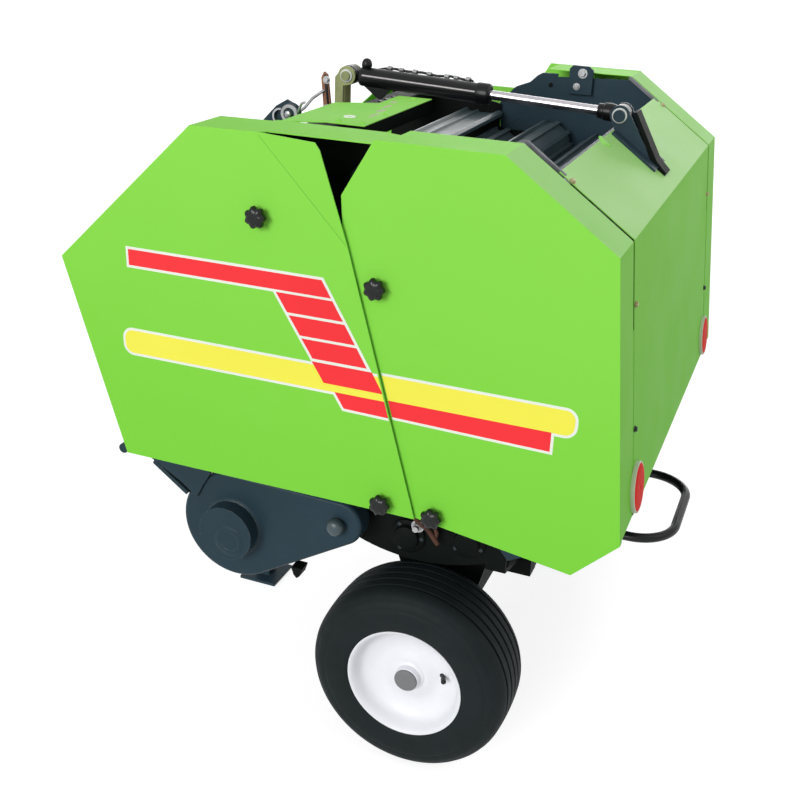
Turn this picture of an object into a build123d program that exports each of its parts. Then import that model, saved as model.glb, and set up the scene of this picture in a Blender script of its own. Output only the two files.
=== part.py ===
from build123d import *
from math import atan2, cos, degrees, hypot, radians, sin
import os

os.makedirs("parts", exist_ok=True)

# Driving dimensions in millimetres and degrees.
# Places in a side view are (forward, up) from the datum, a point between the wheels above the floor.

# Reach of the whole machine, forward and rearward of the datum
front_reach = 760.0
rear_reach = 455.0
datum_x = (rear_reach - front_reach) / 2

# Wheels
tyre_radius = 208.0
tyre_width = 165.0
tyre_outer_face = 526.0
bead_radius = 103.0
bead_inset = 11.0
rim_flange_radius = 116.0
rim_flange_inset = 5.0
rim_thickness = 5.0
rim_dish_depth = 52.0
hub_radius = 38.0
hub_cap_radius = 26.0
hub_cap_height = 30.0
hub_inner_y = 346.0
spindle_radius = 15.0
running_clearance = 0.05
axle_place = (-12.0, 186.0)
datum_z = tyre_radius - axle_place[1]

# Bale chamber: rollers stand on a circle between two round side plates
chamber = (9.0, 780.0)
roller_circle = 310.0
chamber_plate_radius = 362.0
roller_radius = 47.0
roller_rib_height = 8.0
roller_rib_width = 10.0
roller_wall = 3.5
roller_end_wall = 8.0
roller_rib_count = 10
roller_shaft_radius = 15.0
roller_end_gap = 5.0
roller_count_round_circle = 360 / 23.1

# Sheets, plates and box tube
tube_wall = 4.0
tube_corner = 4.0
plate_thickness = 5.0
frame_plate_y = 430.0
plate_gap = 6.0
sheet = 2.0

# Tailgate hinge and its stroke
hinge = (140.0, 1060.0)
hinge_pin_radius = 20.0
hinge_pin_proud = 12.0
hinge_boss_radius = 48.0
hinge_split_behind = 50.0

# Side covers
front_cover_y = 560.0
cover_gap = 6.0
cover_flange = 105.0
cover_lip = 13.0
strip_inner_y = 446.0
strip_outer_y = 544.0
strip_tip_x = 52.0
rear_flange_front_x = 47.0
crease_lift = 5.0
right_cover_top = 1188.0

# Clamp knobs that hold the covers
knob_radius = 20.0
knob_height = 17.0
knob_lobes = 7
knob_lobe_radius = 5.0
knob_stem_radius = 9.0
knob_stem_height = 8.0
post_radius = 11.0

# Hydraulic cylinder over the chamber
cylinder_front = (355.0, 1268.0)
cylinder_rear = (-220.0, 1242.0)
barrel_radius = 26.0
barrel_bore = 20.0
barrel_length = 317.0
rod_radius = 12.5
piston_length = 24.0
gland_length = 26.0
gland_rise = 3.0
eye_radius = 21.0
rod_eye_radius = 18.0
eye_width = 24.0
cylinder_pin_radius = 9.5
cylinder_pin_proud = 8.0
cheek_gap = 3.0
cheek_thickness = 6.0
fin_outline = ((322.0, 1243.5), (262.0, 1241.0), (281.0, 1226.0), (291.0, 1226.0))
fin_thickness = 8.0
port_x = 316.0
port_top = 1304.0
port_height = 15.0
port_radius = 8.0
port_cap_radius = 10.5

# Pickup
pickup_pivot_radius = 16.0
reel_centre = (375.0, 440.0)
pickup_case_y = 499.0
pickup_case_depth = 42.0
case_big_radius = 116.0
case_small_radius = 48.0
case_boss_radius = 58.0
case_boss_height = 36.0
case_edge_radius = 8.0
pivot_socket_depth = 12.0
pivot_cap_radius = 15.0
reel_end_gap = 42.0
reel_half_width = pickup_case_y - pickup_case_depth - reel_end_gap
reel_tube_radius = 22.0
reel_bar_circle = 68.0
reel_bar_radius = 9.0
reel_bar_count = 4
reel_disc_radius = 82.0
reel_disc_thickness = 6.0
tine_tip_radius = 124.0
tine_thickness = 6.0
tines_per_bar = 12
band_radius = 103.0
band_width = 34.0
band_thickness = 3.0
rear_tube = (233.0, 440.0)
rear_tube_radius = 12.0

# Chassis below the chamber
rail_y = 300.0
rail_width = 40.0
rail_height = 40.0
rail_z = 390.0
cross_x = (185.0, -180.0)
leg_thickness = 8.0
leg_top_half = 110.0
leg_foot_half = 38.0
leg_foot_drop = 34.0
axle_tube = 60.0

# Three-point hitch
hitch_pin_y = 341.0
hitch_pin_z = 500.0
hitch_pin_x = 700.0
hitch_pin_radius = 11.0
hitch_pin_length = 56.0
lug_thickness = 12.0
mast_height = 460.0
top_pin_bore = 9.7
top_pin_forward = 5.0
input_shaft_radius = 17.4
input_shaft_z = 761.0
gearbox_size = 130.0
gearbox_width = 150.0
gearbox_x = 575.0
gearbox_snout_radius = 42.0
gearbox_snout_length = 16.0

# Parking stand
stand_x = 575.0
stand_tube_width = 50.0
stand_tube_low = 400.0
stand_tube_height = 290.0
stand_leg_width = 38.0
stand_leg_top = 468.0
stand_foot = 100.0
stand_foot_thickness = 8.0

# Rear hoop
hoop_z = 414.0
hoop_half_width = 152.0
hoop_radius = 10.0
hoop_bend = 85.0
hoop_plate = 6.0
hoop_plate_width = 48.0
hoop_plate_height = 40.0


def place(x, y, z):
    """Point in the row's frame from a place forward, left and up from the datum."""
    return Vector(datum_x + x, y, datum_z + z)


def side(y):
    """Plane seen from the left: x forward, y up from the datum."""
    return Plane(origin=place(0, y, 0), x_dir=(1, 0, 0), z_dir=(0, -1, 0))


def across(x):
    """Plane seen from the front of the machine: x to the left, y up from the datum."""
    return Plane(origin=place(x, 0, 0), x_dir=(0, 1, 0), z_dir=(1, 0, 0))


def level(z):
    """Level plane: x forward of the datum, y to the left."""
    return Plane(origin=place(0, 0, z), x_dir=(1, 0, 0), z_dir=(0, 0, 1))


def save(part, name):
    """Names a finished piece and writes it."""
    part.label = name
    export_step(part, f"parts/{name}.step")


def save_pair(part, name):
    """Writes a left piece and its mirror image on the right."""
    save(part, f"{name}_left")
    save(mirror(part, about=Plane.XZ), f"{name}_right")


def on_circle(centre, radius, angle):
    """Point on a circle, with the angle measured forward from straight up."""
    return (centre[0] + radius * sin(radians(angle)), centre[1] + radius * cos(radians(angle)))


# Roller places
roller_step = 360 / roller_count_round_circle
hinge_angle = degrees(atan2(hinge[0] - chamber[0], hinge[1] - chamber[1]))
tailgate_plate_y = frame_plate_y + plate_gap + plate_thickness
# Steps round the circle from the hinge, counted forward
frame_roller_steps = (0, 1, 2, 3, -8, -9, -10)
tailgate_roller_steps = (-1, -2, -3, -4, -5, -6, -7)
frame_rollers = [on_circle(chamber, roller_circle, hinge_angle + n * roller_step)
                 for n in frame_roller_steps]
tailgate_rollers = [on_circle(chamber, roller_circle, hinge_angle + n * roller_step)
                    for n in tailgate_roller_steps]

# The pickup hangs on the axis of the lowest front roller
pickup_pivot = frame_rollers[-1]

# The line where the front and rear side plates part
split_top = (hinge[0] - hinge_split_behind, hinge[1])
split_bottom = on_circle(chamber, chamber_plate_radius,
                         hinge_angle - 7.5 * roller_step)


# Front side plate
with BuildPart() as chamber_plate:
    with BuildSketch(side(frame_plate_y)):
        with Locations(chamber):
            Circle(chamber_plate_radius)
        with BuildLine():
            Polyline(split_top, (150, 1110), (150, 1238), (300, 1238), (430, 1200),
                     (430, 610), (330, 556), (235, 540), chamber, close=True)
        make_face()
        with Locations(hinge):
            Circle(hinge_boss_radius)
        # rear half is the tailgate's
        with BuildLine():
            Polyline(split_bottom, (split_bottom[0] - 400, split_bottom[1] - 200),
                     (split_bottom[0] - 400, 1400), (142, 1400), (142, 1110),
                     (split_top[0], 1110), split_top, close=True)
        make_face(mode=Mode.SUBTRACT)
        with Locations(hinge):
            Circle(hinge_boss_radius)
        # the pickup's feed mouth
        with BuildLine():
            Polyline((205, 440), (215, 535), (330, 556), (420, 560), (420, 380), (240, 380),
                     close=True)
        make_face(mode=Mode.SUBTRACT)
    extrude(amount=plate_thickness)
    # hinge pin for the tailgate
    with BuildSketch(side(tailgate_plate_y + hinge_pin_proud)):
        with Locations(hinge):
            Circle(hinge_pin_radius)
    extrude(amount=tailgate_plate_y + hinge_pin_proud - frame_plate_y)
    # pivot pin for the pickup
    with BuildSketch(side(pickup_case_y - pickup_case_depth + 8)):
        with Locations(pickup_pivot):
            Circle(pickup_pivot_radius)
    extrude(amount=pickup_case_y - pickup_case_depth + 8 - frame_plate_y)
save_pair(chamber_plate.part, "chamber_plate")

# Tailgate outline, from the front of its top round to the seam at the bottom
gate_top_rear = (-151.0, 1255.0)
gate_bend = (-344.0, 1119.0)
gate_bottom_rear = (-401.0, 623.0)
gate_bottom = (-323.0, 545.0)

# Places of the knobs that clamp the covers
front_knobs = ((270.0, 1108.0), (29.0, 611.0))
rear_knobs = ((53.0, 1012.0), (-67.0, 602.0))
rear_knob_low = rear_knobs[1]

# Tailgate side plate
inset = 5.0
with BuildPart() as tailgate_plate:
    with BuildSketch(side(tailgate_plate_y)):
        with BuildLine():
            Polyline((20, 1240), (gate_top_rear[0] + 2, gate_top_rear[1] - 8),
                     (gate_bend[0] + inset, gate_bend[1] - 3),
                     (gate_bottom_rear[0] + inset, gate_bottom_rear[1] + 3),
                     (gate_bottom[0], gate_bottom[1] + inset), split_bottom, (-120, 545),
                     (rear_knob_low[0] + 22, rear_knob_low[1] - 22),
                     (rear_knob_low[0] + 22, rear_knob_low[1] + 24),
                     (rear_knob_low[0] - 8, rear_knob_low[1] + 60),
                     (hinge[0] - 38, hinge[1] - 30), hinge, (hinge[0] - 6, hinge[1] + 46),
                     close=True)
        make_face()
        with Locations(hinge):
            Circle(hinge_boss_radius)
            Circle(hinge_pin_radius + running_clearance, mode=Mode.SUBTRACT)
    extrude(amount=plate_thickness)
save_pair(tailgate_plate.part, "tailgate_plate")


def rollers(places, half_length, plate_face):
    """Ribbed rollers with their shafts, each a solid of its own."""
    with BuildPart() as group:
        with BuildSketch(side(half_length)):
            for place in places:
                with Locations(place):
                    Circle(roller_radius)
                    with PolarLocations(roller_radius, roller_rib_count):
                        Rectangle(2 * roller_rib_height, roller_rib_width)
        extrude(amount=2 * half_length)
        with BuildSketch(side(plate_face)):
            for place in places:
                with Locations(place):
                    Circle(roller_shaft_radius)
        extrude(amount=2 * plate_face)
        # closed tube with air inside
        with BuildSketch(side(half_length - roller_end_wall)):
            for place in places:
                with Locations(place):
                    Circle(roller_radius - roller_wall)
        extrude(amount=2 * (half_length - roller_end_wall), mode=Mode.SUBTRACT)
    return group.part


frame_plate_inner = frame_plate_y - plate_thickness
tailgate_plate_inner = tailgate_plate_y - plate_thickness
save(rollers(frame_rollers, frame_plate_inner - roller_end_gap, frame_plate_inner), "front_rollers")
save(rollers(tailgate_rollers, frame_plate_inner - roller_end_gap, tailgate_plate_inner),
     "tailgate_rollers")

# Tailgate sheet, bent over the slope and down the rear
slope_run = hypot(gate_bend[0] - gate_top_rear[0], gate_bend[1] - gate_top_rear[1])
sheet_start = 72.0
sheet_top = tuple(a + (b - a) * sheet_start / slope_run for a, b in zip(gate_top_rear, gate_bend))
with BuildPart() as tailgate_sheet:
    with BuildSketch(side(tailgate_plate_inner)):
        with BuildLine():
            Polyline(sheet_top, gate_bend, gate_bottom_rear,
                     (gate_bottom_rear[0] + 16, gate_bottom_rear[1] - 16))
            offset(amount=sheet, side=Side.LEFT)
        make_face()
    extrude(amount=2 * tailgate_plate_inner)
save(tailgate_sheet.part, "tailgate_sheet")

# Tailgate cross beams
beam_places = ((-205.0, 1168.0, 50.0), (-350.0, 620.0, 36.0))
with BuildPart() as tailgate_beams:
    with BuildSketch(side(tailgate_plate_inner)):
        for x, z, width in beam_places:
            with Locations((x, z)):
                RectangleRounded(width, width, tube_corner)
                Rectangle(width - 2 * tube_wall, width - 2 * tube_wall, mode=Mode.SUBTRACT)
    extrude(amount=2 * tailgate_plate_inner)
save(tailgate_beams.part, "tailgate_beams")

# Front cover outline
cover_tip = (690.0, 977.0)
cover_front_bottom = (575.0, 590.0)
seam_bottom = (-33.0, 589.0)
notch = (106.0, 1074.0)
triangle_rear = (155.0, 1231.0)
triangle_top = (164.0, 1243.0)
crease_top = (275.0, 1248.0)
cover_front_top = (402.0, 1246.0)
strip_top = crease_top[1]


def flanged(outline, open_edges, outer_y, flange):
    """Cover plate with its edges turned inward, apart from the edges left open."""
    with BuildPart() as cover:
        with BuildSketch(side(outer_y)):
            with BuildLine():
                Polyline(*outline, close=True)
            make_face()
        extrude(amount=sheet)
        with BuildSketch(side(outer_y)) as rim:
            with BuildLine():
                Polyline(*outline, close=True)
            make_face()
            offset(amount=-sheet, kind=Kind.INTERSECTION, mode=Mode.SUBTRACT)
        extrude(amount=flange)
        for (ax, az), (bx, bz), lip in open_edges:
            length = hypot(bx - ax, bz - az)
            middle = ((ax + bx) / 2, (az + bz) / 2)
            with BuildSketch(side(outer_y - sheet - lip)):
                with Locations(Location((middle[0], middle[1], 0), (0, 0, 1),
                                        degrees(atan2(bz - az, bx - ax)))):
                    Rectangle(length + 2 * sheet, 6 * sheet)
            extrude(amount=flange, mode=Mode.SUBTRACT)
    return cover.part


# Left front cover with the long strip of its top flange
front_outline = (seam_bottom, notch, crease_top, cover_front_top, cover_tip, cover_front_bottom)
front_open = ((seam_bottom, notch, 0), (notch, crease_top, 0), (cover_front_bottom, seam_bottom, cover_lip),
              ((seam_bottom[0] + 30, seam_bottom[1]), seam_bottom, 0))
with BuildPart() as front_cover_left:
    add(flanged(front_outline, front_open, front_cover_y, cover_flange))
    with BuildSketch(level(strip_top)):
        with BuildLine():
            Polyline((crease_top[0] + 20, front_cover_y - sheet), (crease_top[0] + 20, strip_inner_y),
                     (strip_tip_x + 40, strip_inner_y), (strip_tip_x, strip_inner_y + 14),
                     (strip_tip_x, strip_outer_y), (crease_top[0] - 14, strip_outer_y),
                     (crease_top[0] - 2, front_cover_y - sheet), close=True)
        make_face()
    extrude(amount=-sheet)
    # triangle behind the crease, bent outward to let the rear cover pass
    along = Vector(crease_top[0] - notch[0], 0, crease_top[1] - notch[1]).normalized()
    square = Vector(-along.Z, 0, along.X)
    lifted = square * cos(radians(crease_lift)) + Vector(0, sin(radians(crease_lift)), 0)
    crease = Plane(origin=place(notch[0], front_cover_y, notch[1]), x_dir=along,
                   z_dir=along.cross(lifted))

    def on_crease(point):
        run = Vector(point[0] - notch[0], 0, point[1] - notch[1])
        return (run.dot(along), run.dot(square))

    with BuildSketch(crease):
        with BuildLine():
            Polyline((0, -1), (0, 0), on_crease(triangle_rear), on_crease(triangle_top),
                     on_crease(crease_top), (on_crease(crease_top)[0], -1), close=True)
        make_face()
    extrude(amount=sheet)
save(front_cover_left.part, "front_cover_left")

# Right front cover, lower along its top
slope = (cover_tip[1] - cover_front_top[1]) / (cover_tip[0] - cover_front_top[0])
right_front_top = (cover_front_top[0] + (right_cover_top - cover_front_top[1]) / slope, right_cover_top)
right_notch_top = (145.0, right_cover_top)
right_outline = (seam_bottom, notch, right_notch_top, right_front_top, cover_tip, cover_front_bottom)
right_open = ((seam_bottom, notch, 0), (notch, right_notch_top, 0),
              (right_notch_top, right_front_top, 40.0),
              (right_notch_top, (crease_top[0], right_cover_top), 0),
              (cover_front_bottom, seam_bottom, cover_lip),
              ((seam_bottom[0] + 30, seam_bottom[1]), seam_bottom, 0))
with BuildPart() as front_cover_right:
    mirror(flanged(right_outline, right_open, front_cover_y, cover_flange), about=Plane.XZ)
save(front_cover_right.part, "front_cover_right")

# Rear covers
rear_cover_y = front_cover_y - sheet - cover_gap
seam_overlap = 12.0
rear_outline = ((seam_bottom[0] + seam_overlap, seam_bottom[1]), (notch[0] + seam_overlap, notch[1]),
                (123.0, 1159.0), (67.0, gate_top_rear[1]), gate_top_rear, gate_bend,
                gate_bottom_rear, gate_bottom)
rear_open = ((rear_outline[0], rear_outline[1], 0), (rear_outline[1], rear_outline[2], 0),
             (rear_outline[2], rear_outline[3], 0), (rear_outline[6], rear_outline[7], cover_lip),
             (rear_outline[7], rear_outline[0], cover_lip),
             ((80.0, gate_top_rear[1]), (rear_flange_front_x, gate_top_rear[1]), 0))
with BuildPart() as rear_cover:
    add(flanged(rear_outline, rear_open, rear_cover_y, cover_flange))
save_pair(rear_cover.part, "rear_cover")

# Posts and knobs that clamp the covers


def posts(places, foot_y, cover_inner_y):
    """Round posts on both sides from the side plates out to the inside of the covers."""
    with BuildPart() as group:
        with BuildSketch(side(cover_inner_y)):
            with Locations(*places):
                Circle(post_radius)
        extrude(amount=cover_inner_y - foot_y)
        mirror(about=Plane.XZ)
    return group.part


def knobs(places, face_y):
    """Lobed hand knobs on both sides, with a short stem on the cover's face."""
    with BuildPart() as group:
        with BuildSketch(side(face_y + knob_stem_height)):
            with Locations(*places):
                Circle(knob_stem_radius)
        extrude(amount=knob_stem_height)
        with BuildSketch(side(face_y + knob_stem_height + knob_height)):
            for place in places:
                with Locations(place):
                    Circle(knob_radius - 2)
                    with PolarLocations(knob_radius - knob_lobe_radius, knob_lobes):
                        Circle(knob_lobe_radius)
        extrude(amount=knob_height)
        mirror(about=Plane.XZ)
    return group.part


save(posts(front_knobs, frame_plate_y, front_cover_y - sheet), "front_cover_posts")
save(posts(rear_knobs, tailgate_plate_y, rear_cover_y - sheet), "rear_cover_posts")
save(knobs(front_knobs, front_cover_y), "front_cover_knobs")
save(knobs(rear_knobs, rear_cover_y), "rear_cover_knobs")

# Hood: a high panel on the left, a low deck past the cylinder to the right
hood_rear_x = 128.0
hood_front_x = 292.0
hood_top = 1250.0
hood_low = 1172.0
hood_step_y = 132.0
hood_wall_rear_x = 160.0
hood_left_y = frame_plate_inner
hood_toe = (392.0, 1190.0)
with BuildPart() as hood:
    with BuildSketch(side(hood_left_y)):
        with BuildLine():
            Polyline((hood_rear_x, hood_top), (hood_front_x, hood_top), hood_toe)
            offset(amount=sheet, side=Side.RIGHT)
        make_face()
    extrude(amount=hood_left_y - hood_step_y)
    with BuildSketch(across(hood_wall_rear_x)):
        with Locations((hood_step_y + sheet / 2, (hood_top + hood_low) / 2)):
            Rectangle(sheet, hood_top - hood_low)
        with Locations(((hood_step_y + sheet - frame_plate_inner) / 2, hood_low + sheet / 2)):
            Rectangle(hood_step_y + sheet + frame_plate_inner, sheet)
    extrude(amount=hood_front_x - hood_wall_rear_x)
save(hood.part, "hood")

# Frame cross beams between the side plates: (forward, up, width)
front_beams = ((352.0, 1160.0, 60.0),)
with BuildPart() as frame_beams:
    with BuildSketch(side(frame_plate_inner)):
        for x, z, width in front_beams:
            with Locations((x, z)):
                RectangleRounded(width, width, tube_corner)
                Rectangle(width - 2 * tube_wall, width - 2 * tube_wall, mode=Mode.SUBTRACT)
    extrude(amount=2 * frame_plate_inner)
save(frame_beams.part, "frame_beams")

# Twine guide: an ear on the upper beam with a grooved wheel
guide_y = 180.0
guide_thickness = 5.0
guide_wheel = (398.0, 1212.0)
guide_wheel_radius = 20.0
guide_groove_depth = 6.0
guide_outline = ((382.0, 1140.0), (382.0, 1184.0), (394.0, 1184.0), (394.0, 1228.0),
                 (412.0, 1236.0), (436.0, 1222.0), (470.0, 1187.0), (432.0, 1140.0))
with BuildPart() as twine_guide:
    with BuildSketch(side(guide_y)):
        with BuildLine():
            Polyline(*guide_outline, close=True)
        make_face()
    extrude(amount=guide_thickness)
    # stub axle and the wheel's section
    with BuildSketch(side(guide_y + 22)):
        with Locations(guide_wheel):
            Circle(6)
    extrude(amount=22)
    guide_centre = place(guide_wheel[0], guide_y, guide_wheel[1])
    with BuildSketch(Plane(origin=guide_centre, x_dir=(0, 1, 0), z_dir=(1, 0, 0))):
        with BuildLine():
            Polyline((3, 0), (3, guide_wheel_radius), (6, guide_wheel_radius),
                     (10.5, guide_wheel_radius - guide_groove_depth), (15, guide_wheel_radius),
                     (18, guide_wheel_radius), (18, 0), close=True)
        make_face()
    revolve(axis=Axis(guide_centre, (0, 1, 0)))
save(twine_guide.part, "twine_guide")

# Cylinder mount with its pin, on the upper beam
mount_half = eye_width / 2 + cheek_gap
mount_post_x = 372.0
mount_post_width = 18.0
mount_foot_z = front_beams[0][1] + front_beams[0][2] / 2
with BuildPart() as cylinder_mount:
    with BuildSketch(side(mount_half + cheek_thickness)):
        with BuildLine():
            Polyline((mount_post_x - mount_post_width / 2, mount_foot_z),
                     (mount_post_x + mount_post_width / 2, mount_foot_z),
                     (mount_post_x + mount_post_width / 2, cylinder_front[1] - 4),
                     (cylinder_front[0] + 6, cylinder_front[1] + eye_radius - 3),
                     (cylinder_front[0] - 8, cylinder_front[1] - eye_radius + 5),
                     (mount_post_x - mount_post_width / 2, cylinder_front[1] - eye_radius),
                     close=True)
        make_face()
        with Locations(cylinder_front):
            Circle(eye_radius - 2)
    extrude(amount=cheek_thickness)
    mirror(about=Plane.XZ)
    with BuildSketch(side(mount_half + cheek_thickness + cylinder_pin_proud)):
        with Locations(cylinder_front):
            Circle(cylinder_pin_radius)
    extrude(amount=2 * (mount_half + cheek_thickness + cylinder_pin_proud))
save(cylinder_mount.part, "cylinder_mount")

# Cylinder: distances are measured from the front pin towards the rear one
cylinder_run = Vector(cylinder_rear[0] - cylinder_front[0], 0, cylinder_rear[1] - cylinder_front[1])
cylinder_length = cylinder_run.length


def along_cylinder(distance):
    """Plane square to the cylinder at a distance from its front pin."""
    start = place(cylinder_front[0], 0, cylinder_front[1])
    return Plane(origin=start + cylinder_run.normalized() * distance, x_dir=(0, 1, 0),
                 z_dir=cylinder_run.normalized())


with BuildPart() as cylinder_barrel:
    with BuildSketch(along_cylinder(eye_radius + 3)):
        Circle(barrel_radius)
    extrude(amount=barrel_length - eye_radius - 3)
    with BuildSketch(along_cylinder(barrel_length - gland_length)):
        Circle(barrel_radius + gland_rise)
    extrude(amount=gland_length)
    with BuildSketch(along_cylinder(0)):
        Rectangle(eye_width, 2 * eye_radius - 8)
    extrude(amount=eye_radius + 6)
    with BuildSketch(side(eye_width / 2)):
        with Locations(cylinder_front):
            Circle(eye_radius)
    extrude(amount=eye_width)
    with BuildSketch(along_cylinder(eye_radius + 18)):
        Circle(barrel_bore)
    extrude(amount=barrel_length - gland_length - eye_radius - 18, mode=Mode.SUBTRACT)
    with BuildSketch(along_cylinder(barrel_length - gland_length - 1)):
        Circle(rod_radius + running_clearance)
    extrude(amount=gland_length + 2, mode=Mode.SUBTRACT)
    with BuildSketch(side(eye_width)):
        with Locations(cylinder_front):
            Circle(cylinder_pin_radius + running_clearance)
    extrude(amount=2 * eye_width, mode=Mode.SUBTRACT)
    # fin below the barrel's head
    with BuildSketch(side(fin_thickness / 2)):
        with BuildLine():
            Polyline(*fin_outline, close=True)
        make_face()
    extrude(amount=fin_thickness)
    # oil port with a round cap
    with BuildSketch(level(port_top - port_height)):
        with Locations((port_x, 0)):
            Circle(port_radius)
    extrude(amount=port_height - port_radius)
    port_cap_centre = place(port_x, 0, port_top - port_cap_radius)
    with BuildSketch(Plane(origin=port_cap_centre)):
        Circle(port_cap_radius)
        with Locations((-port_cap_radius, 0)):
            Rectangle(2 * port_cap_radius, 2 * port_cap_radius, mode=Mode.SUBTRACT)
    revolve(axis=Axis(port_cap_centre, (0, 1, 0)))
save(cylinder_barrel.part, "cylinder_barrel")

piston_face = barrel_length - gland_length - 4
with BuildPart() as cylinder_rod:
    with BuildSketch(along_cylinder(piston_face - piston_length)):
        Circle(barrel_bore - running_clearance)
    extrude(amount=piston_length)
    with BuildSketch(along_cylinder(piston_face - 1)):
        Circle(rod_radius)
    extrude(amount=cylinder_length - piston_face - rod_eye_radius + 4)
    with BuildSketch(side(eye_width / 2)):
        with Locations(cylinder_rear):
            Circle(rod_eye_radius)
            Circle(cylinder_pin_radius + 1, mode=Mode.SUBTRACT)
    extrude(amount=eye_width)
save(cylinder_rod.part, "cylinder_rod")

# Tailgate bracket: two cheeks on a foot plate, with a pin stub outside each cheek
foot_thickness = 5.0


def on_slope(distance, rise):
    """Point on the tailgate's slope, down it and square above it."""
    ux = (gate_bend[0] - gate_top_rear[0]) / slope_run
    uz = (gate_bend[1] - gate_top_rear[1]) / slope_run
    return (gate_top_rear[0] + ux * distance + uz * rise,
            gate_top_rear[1] + uz * distance - ux * rise)


bracket_start = 76.0
bracket_end = 182.0
bracket_foot_y = 52.0
bracket_pin_radius = cylinder_pin_radius + 2
cheek_outer_y = mount_half + cheek_thickness
with BuildPart() as rod_bracket:
    with BuildSketch(side(cheek_outer_y)):
        with BuildLine():
            Polyline((cylinder_rear[0] + 18, cylinder_rear[1]), (cylinder_rear[0] - 14, cylinder_rear[1] + 12),
                     on_slope(bracket_end, 0.5), on_slope(bracket_start, 0.5), close=True)
        make_face()
        with Locations(cylinder_rear):
            Circle(eye_radius - 2)
    extrude(amount=cheek_thickness)
    with BuildSketch(side(bracket_foot_y)):
        with BuildLine():
            Polyline(on_slope(bracket_start, 0), on_slope(bracket_end + 4, 0),
                     on_slope(bracket_end + 4, foot_thickness), on_slope(bracket_start, foot_thickness),
                     close=True)
        make_face()
    extrude(amount=bracket_foot_y - mount_half)
    with BuildSketch(side(cheek_outer_y + 9)):
        with Locations(cylinder_rear):
            Circle(bracket_pin_radius)
    extrude(amount=9)
    mirror(about=Plane.XZ)
save(rod_bracket.part, "rod_bracket")
# Upright lever in front of the cylinder's pin
lever_y = 34.0
lever_thickness = 8.0
lever_outline = ((382, 1150), (397, 1150), (407, 1262), (401, 1274), (393, 1268), (382, 1180))
with BuildPart() as hand_lever:
    with BuildSketch(side(lever_y)):
        with BuildLine():
            Polyline(*lever_outline, close=True)
        make_face()
    extrude(amount=lever_thickness)
save(hand_lever.part, "hand_lever")

# Chassis: two rails below the chamber, two cross beams and the axle's legs
rail_outer_y = rail_y + rail_width / 2
with BuildPart() as chassis:
    with BuildSketch(side(rail_outer_y)):
        with Locations(((cross_x[0] + cross_x[1]) / 2, rail_z)):
            Rectangle(cross_x[0] - cross_x[1] + rail_width, rail_height)
    extrude(amount=rail_width)
    with BuildSketch(side(rail_y + leg_thickness / 2)):
        with BuildLine():
            Polyline((leg_top_half, rail_z), (-leg_top_half, rail_z),
                     (axle_place[0] - leg_foot_half, axle_place[1] - leg_foot_drop),
                     (axle_place[0] + leg_foot_half, axle_place[1] - leg_foot_drop), close=True)
        make_face()
        with Locations(axle_place):
            Circle(spindle_radius, mode=Mode.SUBTRACT)
    extrude(amount=leg_thickness)
    mirror(about=Plane.XZ)
    with BuildSketch(side(rail_outer_y)):
        for x in cross_x:
            with Locations((x, rail_z)):
                RectangleRounded(rail_width, rail_height, tube_corner)
    extrude(amount=2 * rail_outer_y)
save(chassis.part, "chassis")

# Hangers: plates that slope out from the rails, with a tab on the inside of each chamber plate
hanger_thickness = 8.0
hanger_rise = 30.0
hanger_tab_top = 482.0
hanger_spans = ((150.0, 198.0), (-175.0, -135.0))
hanger_foot = (rail_outer_y - 12, rail_z + rail_height / 2)
hanger_bend = (frame_plate_inner, hanger_foot[1] + hanger_rise)
with BuildPart() as plate_hangers:
    for rear_x, front_x in ((min(span), max(span)) for span in hanger_spans):
        with BuildSketch(across(rear_x)):
            with BuildLine():
                Polyline(hanger_foot, (hanger_bend[0] - plate_thickness, hanger_bend[1]),
                         (hanger_bend[0] - plate_thickness, hanger_tab_top),
                         (hanger_bend[0], hanger_tab_top), (hanger_bend[0], hanger_bend[1] - hanger_thickness),
                         (rail_outer_y, hanger_foot[1] - hanger_thickness), (rail_outer_y, hanger_foot[1]),
                         close=True)
            make_face()
        extrude(amount=front_x - rear_x)
    mirror(about=Plane.XZ)
save(plate_hangers.part, "plate_hangers")

# Axle tube with its spindles
hub_face_y = tyre_outer_face - rim_dish_depth
spindle_end_y = hub_face_y + 12
axle_end_y = rail_y - leg_thickness / 2
with BuildPart() as axle:
    with BuildSketch(side(axle_end_y)):
        with Locations(axle_place):
            RectangleRounded(axle_tube, axle_tube, tube_corner)
    extrude(amount=2 * axle_end_y)
    with BuildSketch(side(spindle_end_y)):
        with Locations(axle_place):
            Circle(spindle_radius)
    extrude(amount=2 * spindle_end_y)
save(axle.part, "axle")

wheel_centre = place(axle_place[0], 0, axle_place[1])
wheel_axis = Axis(origin=wheel_centre, direction=(0, 1, 0))
tyre_inner_face = tyre_outer_face - tyre_width
tyre_middle = tyre_outer_face - tyre_width / 2


def wheel_section():
    """Plane through the axle: x to the left, y out from the wheel's centre."""
    return Plane(origin=wheel_centre, x_dir=(0, 1, 0), z_dir=(1, 0, 0))


def both_ways(half):
    """A half section as (in from the face, radius), closed with its mirror image inward."""
    outer = [(tyre_outer_face - inset_y, radius) for inset_y, radius in half]
    inner = [(tyre_inner_face + inset_y, radius) for inset_y, radius in reversed(half)]
    return outer + inner


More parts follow.
